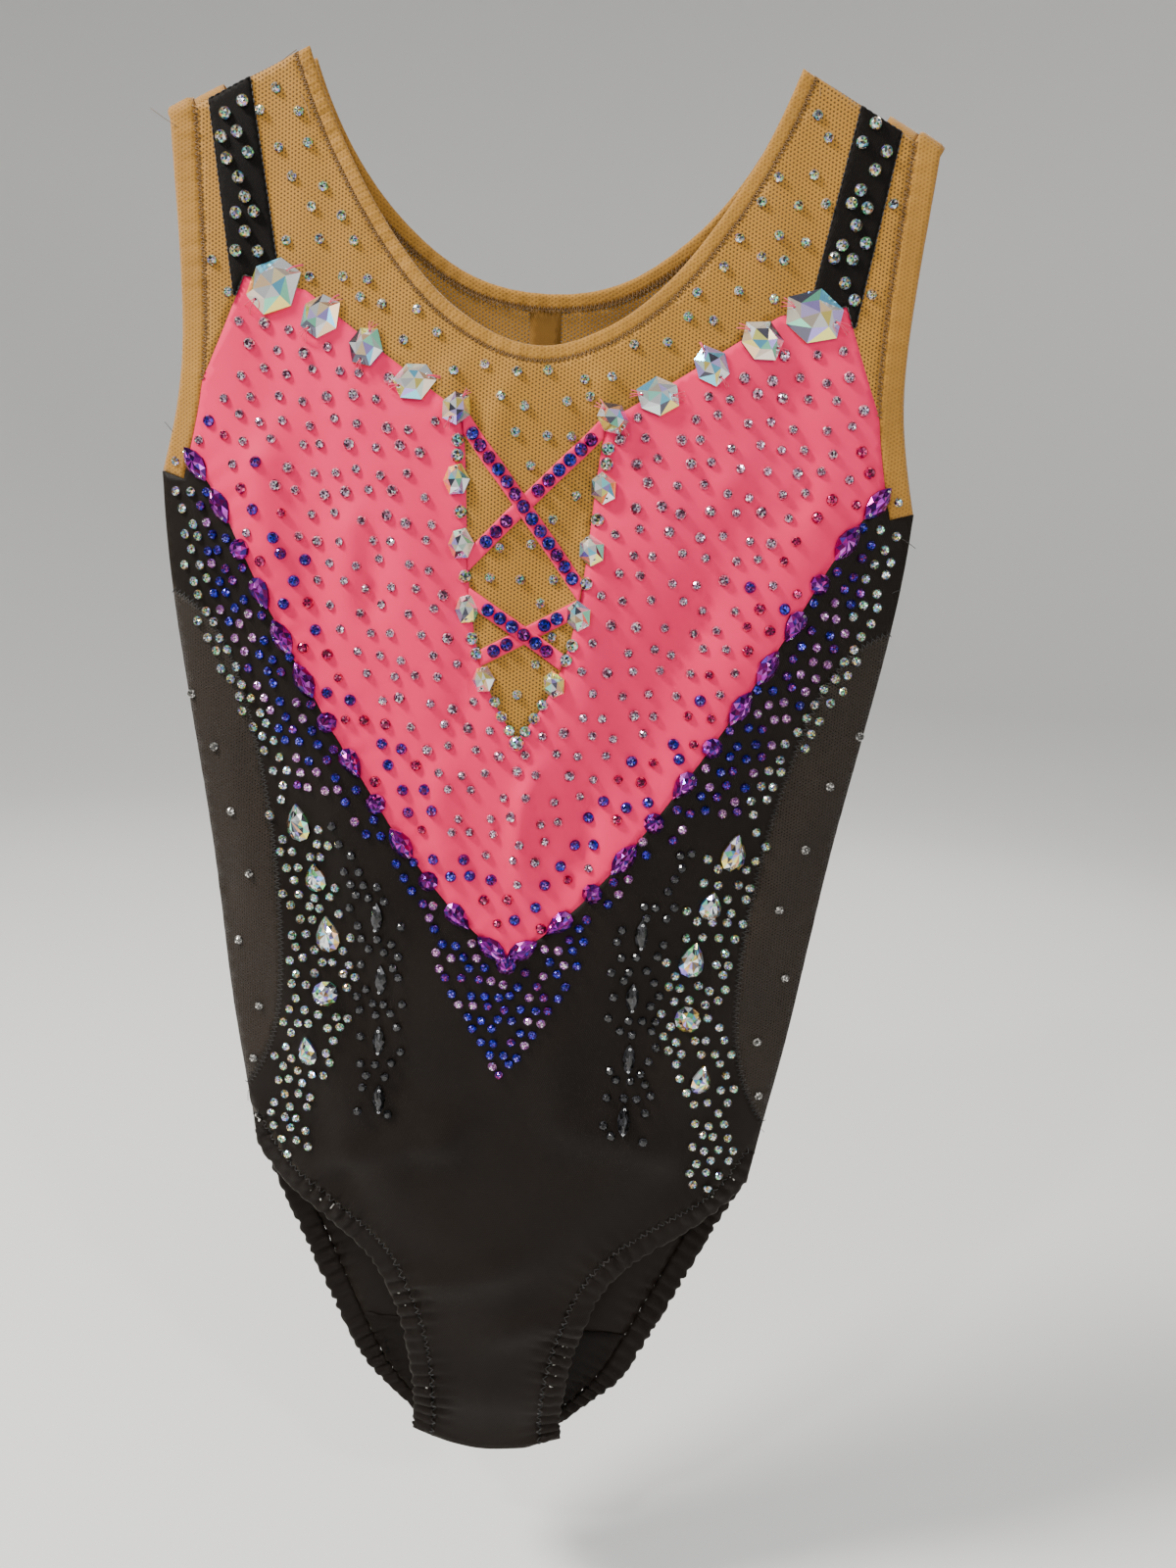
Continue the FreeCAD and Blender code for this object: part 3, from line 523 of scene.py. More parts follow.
# Soft folds of the front, in millimetres: where each starts and ends, its half width and its height.
SOFT_FOLDS = (
    (-104, -132, -96, -222, 9, 1.5), (-84, -140, -72, -250, 8, -1.3), (-62, -150, -56, -262, 9, 1.4),
    (-40, -170, -36, -300, 8, -1.2), (-26, -262, -20, -340, 7, 1.3), (13, -268, 11, -345, 5, 2.0),
    (22, -268, 20, -340, 6, -1.4), (42, -160, 40, -290, 9, 1.3), (66, -145, 56, -250, 9, -1.3),
    (90, -135, 80, -220, 9, 1.4), (108, -130, 102, -180, 7, -1.0), (-30, -112, -34, -150, 7, 0.9),
    (-8, -114, -6, -190, 6, 0.9), (12, -114, 14, -200, 6, -0.8), (32, -112, 30, -145, 7, 0.9),
    (-100, -470, 0, -430, 10, 1.8), (-92, -492, -10, -462, 8, -1.4), (98, -470, 10, -440, 10, 1.6),
    (-60, -520, 30, -500, 9, 1.3), (60, -540, -10, -560, 8, 1.2), (30, -380, 40, -460, 10, 1.2),
    (-46, -400, -70, -470, 9, -1.2),
)


SOFT_FOLD_STRENGTH = 2.4  # times the heights above


def soft_folds(x, z):
    """Height of the long soft folds of the front."""
    total = np.zeros(x.shape)
    for start_x, start_z, end_x, end_z, half, height in np.array(SOFT_FOLDS) * MM:
        run_x, run_z = end_x - start_x, end_z - start_z
        length = math.hypot(run_x, run_z)
        along = ((x - start_x) * run_x + (z - start_z) * run_z) / length
        off = ((x - start_x) * run_z - (z - start_z) * run_x) / length
        bend = 0.12 * length * np.sin(math.pi * np.clip(along / length, 0, 1)) * (1 if height > 0 else -1)
        fade = np.clip(along / (0.3 * length), 0, 1) * np.clip((length - along) / (0.3 * length), 0, 1)
        total += SOFT_FOLD_STRENGTH * height * np.exp(-(((off - bend) / half) ** 2)) * fade**1.5
    return total


def ripples(wave, height, seed, stretch=(1.0, 1.0)):
    """Soft uneven swells."""
    chance = random.Random(seed)
    waves = []
    for _ in range(7):
        angle = chance.uniform(0, math.pi)
        rate = 2 * math.pi / (wave * chance.uniform(0.7, 1.5))
        waves.append((math.cos(angle) * rate / stretch[0], math.sin(angle) * rate / stretch[1],
                      chance.uniform(0, 6.3)))

    def relief(x, z):
        return height * sum(np.sin(x * a + z * b + c) for a, b, c in waves) / 3.5

    return relief


# ---------------------------------------------------------------- finishes


class Wire:
    """A shader value. Sums and products of wires add the Math nodes for them."""

    def __init__(self, finish, socket):
        self.finish, self.socket = finish, socket

    def math(self, operation, *values):
        return self.finish.node("ShaderNodeMath", {"operation": operation}, dict(enumerate(values)))

    def __add__(self, other):
        return self.math("ADD", self, other)

    __radd__ = __add__

    def __sub__(self, other):
        return self.math("SUBTRACT", self, other)

    def __rsub__(self, other):
        return self.math("SUBTRACT", other, self)

    def __mul__(self, other):
        return self.math("MULTIPLY", self, other)

    __rmul__ = __mul__

    def cosine(self):
        return self.math("COSINE", self)

    def step_up(self, low, high):
        """0 below low, 1 above high, smooth between."""
        inputs = {"Value": self, "From Min": low, "From Max": high}
        return self.finish.node("ShaderNodeMapRange", {"interpolation_type": "SMOOTHSTEP"}, inputs)


class Finish:
    """A material of one Principled shader, with helpers that add what feeds it."""

    def __init__(self, name, **constants):
        self.material = bpy.data.materials.new(name)
        self.material.use_nodes = True
        self.tree = self.material.node_tree
        self.shader = self.tree.nodes["Principled BSDF"]
        for socket, value in constants.items():
            self.shader.inputs[socket.replace("_", " ")].default_value = value

    def node(self, kind, settings=None, inputs=None, out=0):
        made = self.tree.nodes.new(kind)
        for key, value in (settings or {}).items():
            setattr(made, key, value)
        for key, value in (inputs or {}).items():
            if isinstance(value, Wire):
                self.tree.links.new(value.socket, made.inputs[key])
            else:
                made.inputs[key].default_value = value
        return Wire(self, made.outputs[out])

    def feed(self, socket, wire):
        self.tree.links.new(wire.socket, self.shader.inputs[socket])

    def flat(self):
        """The place on the flat pattern, in millimetres, as two wires."""
        uv = self.node("ShaderNodeUVMap", {"uv_map": "flat"})
        apart = self.node("ShaderNodeSeparateXYZ", {}, {"Vector": uv})
        other = Wire(self, apart.socket.node.outputs["Y"])
        return apart * 1000.0, other * 1000.0, uv

    def clouds(self, uv, scale, detail=3.0):
        return self.node("ShaderNodeTexNoise", {"noise_dimensions": "3D"},
                         {"Vector": uv, "Scale": scale, "Detail": detail}, out="Fac")

    def blend(self, share, one, two):
        """Colour between two colours."""
        mix = self.tree.nodes.new("ShaderNodeMix")
        mix.data_type = "RGBA"
        for name, value in (("Factor", share), ("A", one), ("B", two)):
            socket = next(s for s in mix.inputs if s.name == name and s.enabled)
            if isinstance(value, Wire):
                self.tree.links.new(value.socket, socket)
            else:
                socket.default_value = value if name == "Factor" else (*value[:3], 1.0)
        return Wire(self, next(s for s in mix.outputs if s.enabled))

    def raise_by(self, height, distance, strength=1.0):
        bump = self.node("ShaderNodeBump", {}, {"Height": height, "Distance": distance, "Strength": strength})
        self.feed("Normal", bump)


def honeycomb(across, along, pitch):
    """High in the holes of a mesh of even holes, low on its threads."""
    rate = 2 * math.pi / pitch
    total = (across * rate).cosine()
    for turn in (1, -1):
        total = total + (across * (rate * 0.5) + along * (turn * rate * 0.866)).cosine()
    return total


def mesh_cloth(name, thread, shadow, cover, pitch=1.38, roughness=0.75, sheen=0.25, wear=0.12):
    """Knitted power mesh: threads round small holes."""
    finish = Finish(name, Roughness=roughness, Sheen_Weight=sheen, Sheen_Roughness=0.4,
                    Specular_IOR_Level=0.3)
    across, along, uv = finish.flat()
    holes = honeycomb(across, along, pitch).step_up(0.2, 1.9)
    clouds = finish.clouds(uv, 28.0).step_up(0.35, 0.68)
    cloth_colour = finish.blend(clouds * (wear * 3), thread, [c * 0.78 for c in thread])
    finish.feed("Base Color", finish.blend(holes * 0.8, cloth_colour, shadow))
    finish.feed("Alpha", 1.0 - holes * (1.0 - cover))
    finish.raise_by(1.0 - holes, 0.0002, 0.7)
    return finish.material


def knit_cloth(name, colour, tint, wale=0.85, roughness=0.62, sheen=0.5,
               sheen_tint=(0.6, 0.5, 0.35), rise=0.00012):
    """Close stretch knit with fine slanting ribs and a soft bloom."""
    finish = Finish(name, Roughness=roughness, Sheen_Weight=sheen, Sheen_Roughness=0.35,
                    Sheen_Tint=(*sheen_tint, 1.0), Specular_IOR_Level=0.1 + 0.3 * sheen)
    across, along, uv = finish.flat()
    ribs = (across * (2 * math.pi / wale) + along * (2 * math.pi / wale * 0.55)).cosine() * 0.5 + 0.5
    loops = (along * (2 * math.pi / wale * 1.3)).cosine() * 0.25 + 0.5
    clouds = finish.clouds(uv, 22.0, 4.0).step_up(0.3, 0.7)
    fine = finish.clouds(uv, 1400.0, 1.0)
    colour_here = finish.blend(clouds * 0.55 + ribs * 0.25, colour, tint)
    finish.feed("Base Color", colour_here)
    finish.feed("Roughness", 0.5 * fine * roughness + roughness * 0.75)
    finish.raise_by(ribs * 0.7 + loops * 0.3, rise, 0.8)
    return finish.material


def ribbed_cloth(name, colour, shadow, pitch=1.5, roughness=0.8):
    """Doubled cloth of a binding, with close ribs along it."""
    finish = Finish(name, Roughness=roughness, Sheen_Weight=0.3, Specular_IOR_Level=0.25)
    across, along, uv = finish.flat()
    ribs = (across * (2 * math.pi / pitch) + along * (2 * math.pi / pitch)).cosine()
    cross = (across * (2 * math.pi / pitch) - along * (2 * math.pi / pitch)).cosine()
    weave = (ribs * cross * 0.5 + 0.5).step_up(0.2, 0.9)
    clouds = finish.clouds(uv, 90.0, 3.0).step_up(0.3, 0.7)
    finish.feed("Base Color", finish.blend(weave * 0.35 + clouds * 0.4, colour, shadow))
    finish.raise_by(weave * 0.6 + clouds * 0.5, 0.00025, 0.9)
    return finish.material


def thread_finish(name, colour):
    finish = Finish(name, Roughness=0.7, Sheen_Weight=0.3)
    finish.shader.inputs["Base Color"].default_value = (*colour, 1.0)
    return finish.material


def crystal(name, metal=0.8, coat=0.35, roughness=0.12):
    """Foil-backed cut stone: every facet has its own tint, the stone's colour with painted glints and painted
    shade.
    """
    finish = Finish(name, Metallic=metal, Roughness=roughness, Coat_Weight=coat, Coat_Roughness=0.02, IOR=1.6)
    tint = finish.node("ShaderNodeVertexColor", {"layer_name": "tint"})
    finish.feed("Base Color", tint)
    return finish.material


FINISHES = {}


def shade(colour, share):
    """A colour made darker or lighter."""
    return [c * share for c in colour]


def make_finishes(colours):
    skin, pink, black = list(colours.skin), list(colours.pink), list(colours.black)
    FINISHES.update({
        "skin_mesh": mesh_cloth("skin_mesh", shade(skin, 1.12), shade(skin, 0.3), 0.6),
        "skin_binding": mesh_cloth("skin_binding", shade(skin, 1.1), shade(skin, 0.6), 1.0, wear=0.2),
        "pink_satin": knit_cloth("pink_satin", pink, [pink[0] * 0.95, pink[1] * 0.8, pink[2] * 0.85],
                                 0.5, 0.5, 0.2, (1.0, 0.6, 0.7), 0.00004),
        "black_knit": knit_cloth("black_knit", black, shade(black, 1.8), 0.9, 0.55, 0.06),
        "black_hem": knit_cloth("black_hem", shade(black, 0.9), shade(black, 1.6), 0.9, 0.6, 0.06),
        "black_strap": knit_cloth("black_strap", shade(black, 0.45), shade(black, 0.7), 0.7, 0.7,
                                  0.04, (0.5, 0.45, 0.5)),
        "black_sheer": mesh_cloth("black_sheer", [black[0] * 3.4, black[1] * 3.2, black[2] * 2.4],
                                  shade(black, 0.7), 0.6, 1.2, 0.7, 0.08, 0.2),
        "lining": knit_cloth("lining", shade(black, 0.8), black, sheen=0.04),
        "elastic": ribbed_cloth("elastic", [0.7, 0.68, 0.62], [0.5, 0.48, 0.45]),
        "seam_tape": ribbed_cloth("seam_tape", shade(skin, 1.1), skin),
        "label": knit_cloth("label", [skin[0] * 0.7, skin[1] * 0.68, skin[2] * 0.65], shade(skin, 0.55)),
        "skin_thread": thread_finish("skin_thread", shade(skin, 0.5)),
        "black_thread": thread_finish("black_thread", shade(black, 0.5)),
        "pink_thread": thread_finish("pink_thread", shade(pink, 0.9)),
        "clear_crystal": crystal("clear_crystal"),
        "purple_crystal": crystal("purple_crystal", 0.85, 0.15),
        "rose_crystal": crystal("rose_crystal"),
        "fuchsia_crystal": crystal("fuchsia_crystal"),
        "cobalt_crystal": crystal("cobalt_crystal", 0.85, 0.2),
        "jet_crystal": crystal("jet_crystal", 0.0, 0.0, 0.16),
        "smoke_crystal": crystal("smoke_crystal", 0.4),
    })


# ---------------------------------------------------------------- making pieces


def add_piece(name, corners, faces, finish, nodes=(), flat=None, smooth=True):
    mesh = bpy.data.meshes.new(name)
    mesh.from_pydata([tuple(c) for c in corners], [], [tuple(int(k) for k in f) for f in faces])
    if flat is not None:
        layer = mesh.uv_layers.new(name="flat")
        index = np.empty(len(mesh.loops), dtype=np.int64)
        mesh.loops.foreach_get("vertex_index", index)
        layer.data.foreach_set("uv", np.asarray(flat)[index].ravel())
    if smooth:
        mesh.polygons.foreach_set("use_smooth", [True] * len(mesh.polygons))
    mesh.materials.append(FINISHES[finish])
    mesh.update()
    piece = bpy.data.objects.new(name, mesh)
    bpy.context.scene.collection.objects.link(piece)
    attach(piece, "root")
    any(entry["slot"] == finish for entry in frame["record"]["materials"])
    if nodes:
        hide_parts(*nodes)
    return piece


def facing(places, triangles, side):
    """Turn the triangles so that they face out of the cloth."""
    a, b, c = (places[triangles[:, k]] for k in range(3))
    area = (b[:, 0] - a[:, 0]) * (c[:, 1] - a[:, 1]) - (b[:, 1] - a[:, 1]) * (c[:, 0] - a[:, 0])
    wrong = area * -side < 0
    triangles = triangles.copy()
    triangles[wrong] = triangles[wrong][:, ::-1]
    return triangles


def panel(name, side, finish, step, thick, nodes):
    """One cloth panel."""
    places, triangles, _ = fill(outline(nodes[0], side), step)
    triangles = facing(places, triangles, side)
    corners = cloth.at(side, places[:, 0], places[:, 1])
    piece = add_piece(name, corners, triangles, finish, nodes, places)
    if thick:
        solid = piece.modifiers.new("cloth", "SOLIDIFY")
        solid.thickness, solid.offset = thick, -1.0
    return piece


def scalloped(x, z, seam, pitch, deep):
    """Flat places of a hem drawn in at each stitch along its free edge."""
    away, along = nearest_on(seam, x, z)
    step = 0.2 * MM
    out_x = (nearest_on(seam, x + step, z)[0] - away) / step
    out_z = (nearest_on(seam, x, z + step)[0] - away) / step
    run = along / MM
    phase = math.pi * along / pitch + 0.5 * np.sin(run * 0.23) + 0.5 * np.sin(run * 0.071 + 1)
    uneven = 0.6 + 0.3 * np.sin(run * 0.17 + 2) + 0.2 * np.sin(run * 0.41)
    pull = deep * uneven * np.abs(np.cos(phase)) ** 3 * np.clip((away - 5 * MM) / (5 * MM), 0, 1) ** 2
    return x - out_x * pull, z - out_z * pull


def padded_half(loop, side, step, proud, inner, round_off, rims, ribs=None, scallops=None):
    """Closed layer with rounded rims: corners, faces and flat places. The rims left out stay square."""
    places, triangles, rim_count = fill(loop, step)
    x, z = places[:, 0], places[:, 1]
    distance, run = np.full(x.shape, np.inf), np.zeros(x.shape)
    for line in rims:
        near, along = nearest_on(line, x, z)
        run = np.where(near < distance, along, run)
        distance = np.minimum(distance, near)
    share = np.clip(distance / round_off, 0, 1)
    dome = 0.15 + 0.85 * np.sqrt(1 - (1 - share) ** 2)
    middle = (proud + inner) / 2
    high, low = middle + (proud - middle) * dome, middle + (inner - middle) * dome
    if ribs:
        pitch, height = ribs
        high = high + height * np.sin(2 * math.pi * run / pitch) * share
    if scallops:
        x, z = scalloped(x, z, *scallops)
    top = cloth.at(side, x, z, high)
    bottom = cloth.at(side, x, z, low)
    triangles = facing(places, triangles, side)
    count = len(places)
    faces = [tuple(t) for t in triangles] + [tuple(t + count)[::-1] for t in triangles]
    rim = places[:rim_count]
    after = np.roll(rim, -1, axis=0)
    turn = np.sum(rim[:, 0] * after[:, 1] - after[:, 0] * rim[:, 1])
    for k in range(rim_count):
        following = (k + 1) % rim_count
        quad = (k, k + count, following + count, following)
        faces.append(quad if turn * -side > 0 else quad[::-1])
    return np.vstack([top, bottom]), faces, np.vstack([places, places])


def joined(parts):
    """Several (corners, faces, flat) as one."""
    corners, faces, flat, offset = [], [], [], 0
    for part_corners, part_faces, part_flat in parts:
        corners.append(part_corners)
        flat.append(part_flat)
        faces += [tuple(int(i) + offset for i in face) for face in part_faces]
        offset += len(part_corners)
    return np.vstack(corners), faces, np.vstack(flat)


def free_rims(loop, keep_square=()):
    """The runs of an outline that aren't at a fold's ridge or at one of the given lines."""
    closed = even_run(np.vstack([loop, loop[:1]]), 1.0 * MM)
    good = np.ones(len(closed), dtype=bool)
    for fold in FOLDS:
        good &= fold.above(closed[:, 0], closed[:, 1]) < fold.length - 0.2 * MM
    for line in keep_square:
        good &= nearest_on(line, closed[:, 0], closed[:, 1])[0] > 0.8 * MM
    runs, run = [], []
    for point, ok in zip(closed, good):
        if ok:
            run.append(point)
        elif len(run) > 1:
            runs.append(np.array(run))
            run = []
        else:
            run = []
    if len(run) > 1:
        runs.append(np.array(run))
    return runs


def shared_run(loop, other, reach=0.5 * MM):
    """The longest run of one outline that lies along another."""
    closed = even_run(np.vstack([loop, loop[:1]]), 1.5 * MM)[:-1]
    near = nearest_on(np.vstack([other, other[:1]]), closed[:, 0], closed[:, 1])[0] < reach
    if near.all() or not near.any():
        return closed
    start = next(k for k in range(len(closed)) if near[k] and not near[k - 1])
    closed, near = np.roll(closed, -start, axis=0), np.roll(near, -start)
    runs, run = [], []
    for point, ok in zip(closed, near):
        if ok:
            run.append(point)
        elif run:
            runs.append(run)
            run = []
    if run:
        runs.append(run)
    return np.array(max(runs, key=len))


def tube(path, radius, sides=5):
    """Corners and faces of a thin thread along points in the round."""
    path = np.asarray(path)
    along = np.gradient(path, axis=0)
    along /= np.linalg.norm(along, axis=1)[:, None] + 1e-15
    side = np.cross(along, [0.12, 0.97, 0.21])
    side /= np.linalg.norm(side, axis=1)[:, None] + 1e-15
    up = np.cross(side, along)
    turns = np.arange(sides) * 2 * math.pi / sides
    ring = side[:, None] * np.cos(turns)[None, :, None] + up[:, None] * np.sin(turns)[None, :, None]
    corners = (path[:, None] + ring * radius).reshape(-1, 3)
    faces = []
    for k in range(len(path) - 1):
        for i in range(sides):
            j = (i + 1) % sides
            faces.append((k * sides + i, k * sides + j, (k + 1) * sides + j, (k + 1) * sides + i))
    faces.append(tuple(range(sides))[::-1])
    faces.append(tuple((len(path) - 1) * sides + i for i in range(sides)))
    return corners, faces, np.zeros((len(corners), 2))


def zigzag(line, side, pitch, width, lift, radius):
    """A zigzag of thread over the cloth."""
    even = even_run(line, pitch / 2)
    swing = np.where(np.arange(len(even)) % 2, 1, -1)[:, None] * width / 2
    along = np.gradient(even, axis=0)
    along /= np.linalg.norm(along, axis=1)[:, None] + 1e-15
    points = even + np.column_stack([along[:, 1], -along[:, 0]]) * swing
    fine = np.empty((len(points) * 2 - 1, 2))
    fine[::2], fine[1::2] = points, (points[:-1] + points[1:]) / 2
    heights = np.full(len(fine), lift)
    heights[::2] = lift - radius * 1.2
    return tube(cloth.at(side, fine[:, 0], fine[:, 1], heights), radius)


def loose_end(x, z, chance):
    """A short curling end of thread standing off the front."""
    place = cloth.at(-1, np.array([x]), np.array([z]), 0.3 * MM)[0]
    heading = np.array([chance.uniform(-1, 1), -0.25, chance.uniform(-1, 0.4)])
    curl = np.array([chance.uniform(-1, 1), -0.1, chance.uniform(-1, 1)])
    shares = np.linspace(0, 1, 9)[:, None]
    return place + chance.uniform(4, 8) * MM * (heading * shares + curl * 0.6 * shares**2)


def running(line, side, pitch, gap, lift, radius):
    """A row of straight stitches."""
    even = even_run(line, pitch)
    starts, ends = even[:-1], even[1:]
    trim = (ends - starts) * gap / 2
    places = np.stack([starts + trim, (starts + ends) / 2, ends - trim], axis=1).reshape(-1, 2)
    heights = np.tile([lift - radius, lift, lift - radius], len(starts))
    threads = cloth.at(side, places[:, 0], places[:, 1], heights).reshape(-1, 3, 3)
    return joined([tube(thread, radius, 4) for thread in threads])


# ---------------------------------------------------------------- cut stones


@lru_cache(maxsize=None)
def islands(name):
    """The corners of each separate stone of a node."""
    corners, triangles = node_corners(name)
    root = list(range(len(corners)))

    def top(k):
        while root[k] != k:
            root[k] = root[root[k]]
            k = root[k]
        return k

    for a, b, c in triangles.tolist():
        a = top(a)
        root[top(b)] = a
        root[top(c)] = a
    tops = np.array([top(k) for k in range(len(corners))])
    order = np.argsort(tops, kind="stable")
    cuts = np.flatnonzero(np.diff(tops[order])) + 1
    return [corners[part] for part in np.split(order, cuts)]


def hull(points):
    """The smallest outline round flat points, anticlockwise."""

    def half(run):
        kept = []
        for p in run:
            while len(kept) > 1 and ((kept[-1][0] - kept[-2][0]) * (p[1] - kept[-2][1])
                                     - (kept[-1][1] - kept[-2][1]) * (p[0] - kept[-2][0])) <= 1e-11:
                kept.pop()
            kept.append(p)
        return kept[:-1]

    ordered = sorted({(round(x, 6), round(z, 6)) for x, z in points})
    return np.array(half(ordered) + half(ordered[::-1]))


# Facet colours of each kind of stone: the stone's and its coating's own colours, with near-white facets as
# painted highlights and near-black facets as painted shade and dark reflections.
PALETTES = {
    "clear": [(0.95, 0.97, 1.0), (0.2, 0.8, 0.55), (0.35, 0.25, 0.85), (0.95, 0.7, 0.15), (0.25, 0.85, 0.3),
              (0.08, 0.09, 0.12), (0.98, 0.5, 0.25), (0.15, 0.5, 0.9), (0.03, 0.03, 0.04), (1.0, 1.0, 1.0),
              (0.9, 0.93, 0.95), (0.35, 0.22, 0.1), (0.55, 0.6, 0.62)],
    "bright": [(0.95, 0.97, 1.0), (0.3, 0.9, 0.6), (0.5, 0.4, 0.95), (0.98, 0.8, 0.2), (0.85, 0.9, 0.92),
               (0.98, 0.6, 0.35), (0.2, 0.65, 0.95), (0.75, 0.95, 0.85), (0.1, 0.1, 0.14), (0.9, 0.75, 0.6)],
    "rose": [(0.42, 0.16, 0.26), (0.8, 0.5, 0.62), (0.2, 0.06, 0.11), (0.55, 0.34, 0.5), (0.08, 0.02, 0.05),
             (0.98, 0.9, 0.95), (0.35, 0.3, 0.42)],
    "light": [(0.6, 0.28, 0.5), (0.4, 0.12, 0.5), (0.95, 0.7, 0.85), (0.18, 0.04, 0.18), (0.6, 0.22, 0.65)],
    "fuchsia": [(0.4, 0.0, 0.08), (0.6, 0.01, 0.15), (0.12, 0.0, 0.03), (0.85, 0.15, 0.3), (0.25, 0.0, 0.08)],
    "cobalt": [(0.01, 0.015, 0.35), (0.03, 0.03, 0.6), (0.005, 0.005, 0.1), (0.2, 0.18, 0.85),
               (0.06, 0.01, 0.25)],
    "mixed": [(0.02, 0.02, 0.3), (0.14, 0.01, 0.25), (0.2, 0.01, 0.1), (0.05, 0.02, 0.45), (0.35, 0.1, 0.5)],
    "purple": [(0.16, 0.0, 0.22), (0.35, 0.01, 0.4), (0.05, 0.0, 0.09), (0.65, 0.12, 0.7), (0.2, 0.0, 0.12),
               (0.04, 0.01, 0.2)],
    "jet": [(0.004, 0.004, 0.005), (0.01, 0.01, 0.012), (0.03, 0.03, 0.035), (0.002, 0.002, 0.002)],
    "smoke": [(0.1, 0.095, 0.085), (0.25, 0.24, 0.22), (0.02, 0.02, 0.02), (0.5, 0.48, 0.45)],
}


class Stones:
    """Facets of many stones, gathered into one piece."""

    def __init__(self, seed):
        self.corners, self.faces, self.tints = [], [], []
        self.chance = random.Random(seed)

    def add(self, corners, faces, tints):
        start = len(self.corners)
        self.corners += [tuple(c) for c in corners]
        self.faces += [tuple(start + i for i in face) for face in faces]
        self.tints += tints

    def tint(self, palette, glint_and_shade=1.0):
        # A facet's colour from the palette, made lighter as a painted glint and darker as painted shade, with
        # a small random change of tone.
        colour = self.chance.choice(palette)
        glint_and_shade *= self.chance.uniform(0.85, 1.1)
        return tuple(min(1.0, c * glint_and_shade) for c in colour)

    def piece(self, name, finish, nodes):
        made = add_piece(name, self.corners, self.faces, finish, nodes, smooth=False)
        layer = made.data.color_attributes.new(name="tint", type="FLOAT_COLOR", domain="CORNER")
        colours = []
        for polygon in made.data.polygons:
            colours += [*self.tints[polygon.index], 1.0] * polygon.loop_total
        layer.data.foreach_set("color", colours)
        return made


def ring(count, radius, level, start=0.0):
    turns = [2 * math.pi * (k + start) / count for k in range(count)]
    return [(radius * math.cos(t), radius * math.sin(t), level) for t in turns]


def round_cut(stones, palette, radius):
    """Flat-backed round stone with a star of facets: corners, facets and their tints."""
    rise = radius * 0.84
    corners = ring(16, radius, 0.0) + ring(16, radius, rise * 0.28)
    corners += ring(8, radius * 0.84, rise * 0.66) + ring(8, radius * 0.56, rise, 0.5) + [(0, 0, rise * 1.03)]
    faces, tints = [tuple(range(16))[::-1]], [palette[0]]
    # The girdle facets are made a little darker, as painted shade.
    for k in range(16):
        after = (k + 1) % 16
        faces.append((k, after, 16 + after, 16 + k))
        tints.append(stones.tint(palette, 0.8))
    for k in range(8):
        after = (k + 1) % 8
        edge, corner, next_edge = 16 + 2 * k, 32 + k, 16 + (2 * k + 1)
        far_edge = 16 + (2 * k + 2) % 16
        faces += [(edge, next_edge, corner), (next_edge, far_edge, 32 + after),
                  (next_edge, 32 + after, corner),
                  (corner, 32 + after, 40 + k), (corner, 40 + k, 40 + (k - 1) % 8), (40 + k, 40 + after, 48)]
        # Crown facets are made lighter as painted glints and darker as painted shade; the star facets by the
        # table take turns between a strong painted glint and deep painted shade.
        bright = 1.5 if k % 2 else 0.2
        for glint_and_shade in (1.15, 1.15, 1.1, 1.0, 0.6, bright):
            tints.append(stones.tint(palette, glint_and_shade))
    return corners, faces, tints


def broad_cut(stones, palette, shape, rise, table, wall=0.28):
    """Flat-backed sewn stone with few, broad facets: corners, facets and their tints."""
    count = len(shape)
    off = np.array([stones.chance.uniform(-0.1, 0.1) * np.ptp(shape[:, k]) for k in (0, 1)])
    corners = [(*p, 0.0) for p in shape] + [(*p, wall * rise) for p in shape]
    corners += [(*(p * table * stones.chance.uniform(0.85, 1.15)), rise) for p in shape]
    corners += [(*off, rise * 1.05)]
    faces, tints = [tuple(range(count))[::-1]], [palette[0]]
    for k in range(count):
        after = (k + 1) % count
        edge, next_edge, top, next_top = count + k, count + after, 2 * count + k, 2 * count + after
        faces += [(k, after, next_edge, edge), (edge, next_edge, next_top), (edge, next_top, top),
                  (top, next_top, 3 * count)]
        # Wall, crown and table facets are made lighter as painted glints and darker as painted shade.
        for glint_and_shade in (0.8, 1.2, 0.9, 1.3 if k % 2 else 0.8):
            tints.append(stones.tint(palette, glint_and_shade))
    return corners, faces, tints


def shaped_cut(stones, palette, shape, rise, table, wall=0.28):
    """Flat-backed sewn stone of any outline: corners, facets and their tints."""
    count = len(shape)
    centre = shape.mean(axis=0)
    levels = [(1.0, 0.0, 0.0), (1.0, wall * rise, 0.0),
              (0.55 + table * 0.45, rise * 0.7, 0.5), (table, rise, 0.0)]
    corners = []
    for scale, level, shift in levels:
        moved = shape * (1 - shift) + np.roll(shape, -1, axis=0) * shift
        corners += [(*(centre + (p - centre) * scale), level) for p in moved]
    off = np.array([stones.chance.uniform(-0.12, 0.12) * np.ptp(shape[:, k]) for k in (0, 1)])
    corners.append((*(centre + off), rise * 1.06))
    faces, tints = [tuple(range(count))[::-1]], [palette[0]]
    for k in range(count):
        after = (k + 1) % count
        rows = [level * count for level in range(4)]
        faces += [(k, after, rows[1] + after, rows[1] + k),
                  (rows[1] + k, rows[1] + after, rows[2] + k),
                  (rows[1] + after, rows[2] + after, rows[2] + k),
                  (rows[2] + k, rows[2] + after, rows[3] + after),
                  (rows[2] + k, rows[3] + after, rows[3] + k),
                  (rows[3] + k, rows[3] + after, 4 * count)]
        # Wall, crown and table facets are made lighter as painted glints and darker as painted shade.
        for glint_and_shade in (1.0, 1.3, 0.9, 1.1, 0.8, 1.25 if k % 2 else 0.6):
            tints.append(stones.tint(palette, glint_and_shade))
    return corners, faces, tints


